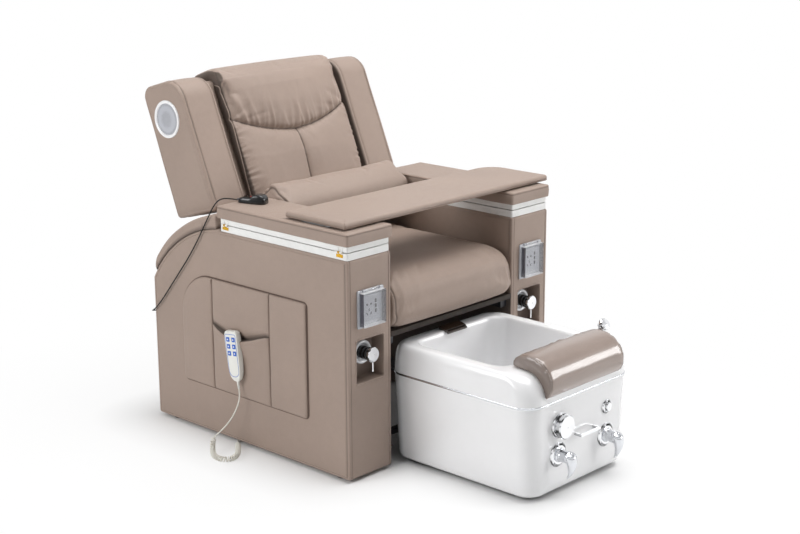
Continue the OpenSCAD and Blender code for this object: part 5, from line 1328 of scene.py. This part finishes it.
def make_basin():
    # half width, front, rear, foot and height of the rim, corner radius, wall, top of the moulding
    hw, y0, y1, z0, rise, r, wall, top = 246.0, -497.0, 51.0, 293.0, 87.0, 58.0, 4.0, 380.0
    # the bowl's mouth from front to rear, the depth of the front shoulder, and the trim line's height
    my0, my1, shoulder, trim_z = -366.0, -3.0, 97.0, 287.0

    def pw(x, e):
        return max(x, 0.0) ** e

    def rim(a, d):
        s, c = math.sin(math.radians(a)), math.cos(math.radians(a))
        bulge = 1 - pw(s, 0.55)
        front = y0 + shoulder - shoulder * pw(s, 0.8) + d
        z = z0 + rise * pw(c, 0.8) - (0 if a > 89 else d * c)
        return plan_ring(hw - 26 * bulge - d, front, y1 - 24 * bulge - d, r - d, z)

    def bowl(k, d, z):
        return plan_ring(200 - k + d, my0 + k * 1.1 - d, my1 - k * 1.1 + d, 52 + d, z)

    outer = [rim(a, 0) for a in (90, 84, 76, 67, 58, 49, 40, 32, 24, 17, 11, 6, 2.5, 0)]
    lip = [bowl(k, 0, top - d) for k, d in
           ((-3, -0.2), (0, 0.6), (2.5, 3), (4.5, 8), (6, 14), (8.5, 34), (12, 62))]
    down = [bowl(12 + 16 * t, 0, top - 62 - (top - 62 - 104) * t) for t in np.linspace(0.12, 1, 10)]
    floor = [bowl(k, 0, z) for k, z in ((30, 98), (34, 93.5), (40, 90.4), (48, 89), (90, 88.2), (150, 88))]
    under = [bowl(*q) for q in ((150, 0, 84), (42, wall, 84), (28, wall, 99), (12, wall, top - 60),
                                (6, wall, top - 16), (-1, 1, top - 7))]
    inner = [rim(a, wall) for a in (6, 14, 30, 48, 68, 90)]
    o = shell("basin_shell", outer + lip + down + floor + under + inner, white)
    slot = np.array([(my1 - 8, 376), (my1 + 22.3, 376), (my1 + 22.3, 392), (my1 - 8, 392)])
    notch = loft([across(slot, x) for x in (-46.3, 46.3)])
    drain = revolve([(20.3, 0), (20.3, 40)], (0, (my0 + my1) / 2, 68), (0, 0, 1), 40)
    shower = revolve([(13.3, 0), (13.3, 40)], (214, -403, 340), (0, 0, 1), 32)
    cut_out(o, [solid(f"cut{i}", *c, white) for i, c in enumerate((notch, drain, shower))])
    settle(o, "basin", ["basin"])
    # the skirt, up its outer side and down its inner one: insets at side, front, rear and corner, height
    side = [(34, 18, 18, 14, 13), (26, 10, 11, 9, 15.2), (20.5, 5, 6, 4.5, 20), (17, 2, 4, 2, 29),
            (14, 0, 2, 0, 44)]
    side += [(14 - 14 * t, 0, 2 - 2 * t, 0, 44 + (trim_z - 44) * t) for t in (0.2, 0.4, 0.6, 0.8, 0.97)]
    side += [(0.6, 0.6, 0.6, 0, trim_z - 0.4), (2, 2, 2, 2, trim_z), (wall, wall, wall, wall, trim_z - 1),
             (18, 4, 6, 4, 44), (38, 22, 22, 18, 13)]
    s = shell("skirt_shell", [plan_ring(hw - a, y0 + b, y1 - c, r - d, z) for a, b, c, d, z in side], white)
    holes = [tube([(x, y0 - 3, z), (x, y0 + 20, z)], hole, 28, (1, 0, 0))
             for x, z, hole in ((-111, 127, 12.3), (118, 124, 12.3), (-103.5, 214, 12.3), (120, 212, 8.3))]
    gate = np.array([(-172, y1 - 40), (172, y1 - 40), (172, y1 + 5), (-172, y1 + 5)])
    gap = loft([level(gate, z) for z in (12, 94)])
    cut_out(s, [solid(f"cut{i}", *c, white) for i, c in enumerate([*holes, gap])])
    settle(s, "basin", ["basin_skirt"])
    trim = [(1.4, 6), (1.9, 5.4), (2.1, 3), (1.9, 0.6), (1.4, 0), (-4, 0), (-4, 6)]
    band = [plan_ring(hw + d, y0 - d, y1 + d, r + d, trim_z + z) for d, z in trim]
    shell("trim_band", band, chrome_soft, "basin", ["basin_trim"], "chrome")


# the tap levers: their places in x and z, and rings (y, z, half width, half height) of the claw
TAPS = {"left": (-111.0, 127.0), "right": (118.0, 124.0)}
CLAW = [(-36, 15, 10, 8), (-40, 13, 16, 13), (-44.5, 6, 19, 17), (-48, -4, 18.5, 16),
        (-50.5, -16, 16.5, 14), (-51, -28, 13.5, 11.5), (-49, -39, 10.5, 9), (-46, -48, 7.8, 6.8),
        (-42, -56, 5.2, 4.8), (-38.5, -62, 3.2, 3), (-36, -66, 1.4, 1.4), (-35.4, -67, 0.4, 0.4)]


def make_levers():
    head = [(14, 7.4), (21.6, 7.6), (21.4, 9.4), (20, 11.4), (19, 12.2), (19.4, 13.4), (19, 15), (18, 20),
            (17.6, 30), (18.6, 38), (18.4, 44), (15, 49), (8, 51.6), (0, 52)]
    a = np.linspace(0, 2 * math.pi, 28, endpoint=False)
    for side, (x, z) in TAPS.items():
        at = np.array([x, -497.0, z])
        line = spline(CLAW, 4)
        rings = [at + level(np.column_stack([w * np.cos(a), y + h * np.sin(a)]), dz)
                 for y, dz, w, h in line]
        parts = join([revolve(head, at, (0, -1, 0), 40), loft(rings)])
        name = "tap_lever_" + side
        solid("tap_claw_" + side, *parts, chrome_soft, name, [name], "chrome")


def make_calf_pad():
    o = soft("calf_cushion", "calf_pad", hide_calf, "basin", voxel=5, cap=5, shrink=2, fill=0.9,
             hold=lambda co: np.where(calf_underside(co), 1.0, 0.0))
    rng = np.random.RandomState(2)
    tucks = [draw(rng, (-160, 160), (2.5, 5), (0.4, 1.1)) for _ in range(46)]

    def seams(co, no):
        x, y = co.T[:2]
        ax = np.abs(x)
        end = bell(ax - 171, 1.5) * (no[:, 2] + -no[:, 1] > 0.2)
        wave = sum(a * bell(x - at, w) for at, w, a in tucks) * bell(y + 392, 20) * (no[:, 2] > 0)
        # painted shade: the pad's end faces are darkened by half
        ends = clamp((np.abs(no[:, 0]) - 0.5) * 3)
        return wave - 1.6 * end, np.maximum(0.8 * end, 0.5 * ends)

    carve(o, seams)


def calf_underside(co):
    """Where the calf pad lies on the basin: its lower, inner side."""
    c = co - co.mean(0)
    return (c[:, 1] * 0.55 + c[:, 2] * -0.83) > 14


# ---------------------------------------------------------------- small things


# the black handset's place on the left lid; the sockets' half width, height, half height and half insert
HANDSET = np.array([-364.65, 501.6, 759.3])
SOCKET = (54.0, 527.0, 57.0, 40.0)


def make_small():
    # the black handset: a high glossy front and a low rear with its keys
    a = math.radians(21)
    spin = np.array([[math.cos(a), -math.sin(a), 0], [math.sin(a), math.cos(a), 0], [0, 0, 1]])
    rings = []
    for y, w, top in ((-46.5, 11, 13), (-45, 16, 19), (-40, 20, 25), (-32, 22, 28.6), (-20, 22.4, 29.6),
                      (-9, 22.2, 28), (-3, 22, 24.5), (0, 21.6, 20), (8, 21.4, 19.2), (22, 21, 19.4),
                      (36, 19.5, 18), (43, 16.5, 15), (46.5, 11.5, 10.5)):
        q = corner_round([(-w, 0.25, 3.5), (w, 0.25, 3.5), (w * 0.86, top, 7), (-w * 0.86, top, 7)], 6)
        rings.append(facing(q, y) @ spin.T + HANDSET)
    solid("black_handset_shell", *loft(rings), gloss_black, "lid_left", ["handset_black"])
    dot = [(3.6, 17), (3.6, 20), (2.6, 20.7), (0, 20.9)]
    dots = [revolve(dot, np.array([x, y, 0.0]) @ spin.T + HANDSET, (0, 0, 1), 20)
            for x, y in ((-8, 8), (3, 24), (-8, 24))]
    strain = [np.array([0, y, 8.4]) @ spin.T + HANDSET for y in (40, 46, 54.5)]
    dots.append(tube(strain, [4.6, 4.2, 2.5], 14, (0, 0, 1)))
    make("black_handset_keys", *join(dots), grey_dark, "lid_left")
    # the mixers: a bright rose, a dark body with grooves, a steel spindle
    rose = [(36, -48.8), (36, -40), (36, -33), (35.4, -30), (33.4, -28), (30.6, -27.6), (27, -29.4),
            (24.6, -33), (23.6, -37), (20, -38), (0, -38)]
    neck = [(18.5, -44), (18.5, -38), (17, -37), (17, -33), (19.4, -32), (19.4, -21), (18, -20), (18, -17),
            (19.4, -16), (19.4, -5), (17, -1.6), (9, -0.6), (0, -0.6)]
    spindle = [(5, -1), (5, 11.6), (0, 12)]
    for name, profile, mat, *hides in (("mixer_roses", rose, rose_white),
                                       ("mixer_necks", neck, gloss_black, "mixer_bodies"),
                                       ("mixer_spindles", spindle, steel)):
        solid(name, *both(revolve(profile, MIXER, (0, -1, 0), 44)), mat, "base", hides)
    make_sockets()
    make_white_handset()


def plate_y(x0, x1, z0, z1, r, steps):
    """Rings of a rounded plate that faces -y: steps of (y, inset)."""
    return [facing(rounded_box(x0 + d, x1 - d, z0 + d, z1 - d, r, 5), y) for y, d in steps]


def square_y(x, z, half, r, steps):
    return plate_y(x - half, x + half, z - half, z + half, r, steps)


def make_sockets():
    half_w, z, half_h, size = SOCKET
    frames, inserts, slots = [], [], []
    for c in (-ARM_X, ARM_X):
        steps = [(0, 0), (-4, 0), (-4.8, 0.4), (-5, 1.2)]
        outer = plate_y(c - half_w, c + half_w, z - half_h, z + half_h, 5, steps)
        inner = square_y(c, z, size, 3, [(-5, -0.8), (-4.4, 0), (0, 0)])
        frames.append(grid(closed(np.array(outer + inner)), True))
        for x in (c - 34, c + 34):
            ear = [(-2.5, 0), (-11, 0), (-11.6, 0.6)]
            frames.append(loft(plate_y(x - 4, x + 4, z + half_h - 4, z + half_h + 2, 1.5, ear)))
        bar = [(x, -8.3, z + half_h - 1) for x in (c - 38, c + 38)]
        frames.append(tube(bar, 1.5, 12, (0, 0, 1)))
        inserts.append(loft(square_y(c, z, size - 0.4, 3, [(-0.5, 0), (-8.4, 0), (-8.9, 0.3), (-9, 1)])))
        inserts.append(loft(square_y(c, z, size - 6, 2, [(-8.9, 0), (-9.3, 0.3), (-9.4, 0.8)])))
        for dx in (-20, -4):
            slots.append(tube([(c + dx, -9.75, z + 12), (c + dx, -6, z + 12)], 3.4, 16, (1, 0, 0)))
        for dx, dz, a in ((-12, -4.5, 0), (-20, -16, 30), (-4, -16, -30)):
            t = math.radians(a)
            spin = np.array([[math.cos(t), math.sin(t)], [-math.sin(t), math.cos(t)]])
            q = rounded_box(-1.7, 1.7, -4.4, 4.4, 0.6, 2) @ spin + (c + dx, z + dz)
            slots.append(loft([facing(q, y) for y in (-6, -9.75)]))
        slots += [loft(plate_y(c + 12, c + 19, z + dz, z + dz + 11, 1, [(-6, 0), (-9.75, 0)]))
                  for dz in (-17, -2, 13)]
    weld(make("socket_frames", *join(frames), pale_grey, "base", ["sockets"]))
    solid("socket_inserts", *join(inserts), grey, "base")
    solid("socket_slots", *join(slots), black, "base")


def make_white_handset():
    """A flat, rounded shell with a blue line, and the six keys' caps with their pale marks."""
    h = np.array([-486.5, 467.0, 298.1])
    t = math.radians(-7.6)
    turn = np.array([[1, 0, 0], [0, math.cos(t), -math.sin(t)], [0, math.sin(t), math.cos(t)]])
    rings = []
    for z, w, front, rear in ((-77, 5, -4, 3), (-75.5, 9, -6, 4), (-72, 14, -8, 5), (-66, 19, -9.6, 6),
                              (-57, 23, -10.6, 7), (-44, 26, -11, 8), (-20, 27.6, -11, 9),
                              (20, 28.6, -11, 9.6), (55, 29, -11, 10), (72, 28.4, -11, 10),
                              (78, 27, -10.4, 9.6), (82, 24.6, -9, 8.6), (84, 21, -6.6, 6.6)):
        q = corner_round([(front, -w, 3.6), (rear, -w, 5), (rear, w, 5), (front, w, 3.6)], 6)
        rings.append(level(q, z) @ turn.T + h)
    solid("white_handset_shell", *loft(rings), off_white, "base", ["handset_white"])
    strain = [np.array([0, 0, z]) @ turn.T + h for z in (-72, -80, -90, -101.5)]
    make("white_handset_relief", *tube(strain, [5.4, 4.6, 3.9, 3], 16, (1, 0, 0)), off_white, "base")
    ring = corner_round([(-22, -60, 19), (22, -60, 19), (24, 74, 6), (-24, 74, 6)], 8)
    pts = across(closed(ring), -11.0) @ turn.T + h
    make("handset_line", *tube(pts, 0.75, 6, (1, 0, 0)), blue, "base")

    def cap(y, z, hw, hh, r, steps):
        rings = [(rounded_box(y - hw + d, y + hw - d, z - hh + d, z + hh - d, r, 4), x) for x, d in steps]
        return loft([across(q, x) @ turn.T + h for q, x in rings])

    for k in range(1, 7):
        y, z = (-13.2, 11.4)[k % 2 == 0], 58 - 22 * ((k - 1) // 2)
        key = cap(y, z, 7.4, 7.2, 2, [(-9, 0), (-11.9, 0), (-12.3, 0.4), (-12.5, 1.2)])
        solid(f"key_cap_{k}", *key, blue, f"key_{k}", [f"key_{k}"])
        mark = cap(y, z, 2.6 - 0.5 * (k % 2), 2.2, 0.7, [(-12, 0), (-12.66, 0)])
        solid(f"key_mark_{k}", *mark, band_white, f"key_{k}")


for side in ("left", "right"):
    make_arm(side)
    make_pads_of_lids(side)
pads = [make_side_pad(s) for s in ("left", "right")]
caps = [make_cap(s) for s in ("left", "right")]
for o in pads:
    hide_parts("side_pads")
for o in caps:
    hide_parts("arm_caps")
make_board()
make_seat()
make_back_cushion()
make_pillow()
make_wings()
make_speakers()
make_basin()
make_levers()
make_calf_pad()
make_small()

# ---------------------------------------------------------------- the CAD nodes that stay

# every other node is replaced by pieces of the scene and is never seen; it gets the leather
FINISH = [
    (hide, "back_shell"),
    (band_white, "storage_boxes lid_frame_left lid_frame_right"),
    (brass, "box_hinges"),
    (dark_steel, "base_frame back_frame basin_chassis"),
    (rubber, "feet front_wheels rear_wheels"),
    (wood, "seat_board"),
    (black, "control_box actuator_body cord_glands"),
    (steel, "actuator_rod board_bracket"),
    (cover, "splash_cover_left splash_cover_right"),
    (chrome, "mixer_handle_left mixer_handle_right drain front_fittings"),
    (chrome, "air_knob push_button shower_holder hand_shower"),
    (smoked, "spout"),
    (red, "key_red"),
]
finish_of = {name: mat for mat, names in FINISH for name in names.split()}
for name, o in nodes.items():
    mat = finish_of.get(name, hide)
    if not o.data.materials:
        o.data.materials.append(mat)
    for entry in o.material_slots:
        entry.link = "OBJECT"
        entry.material = mat
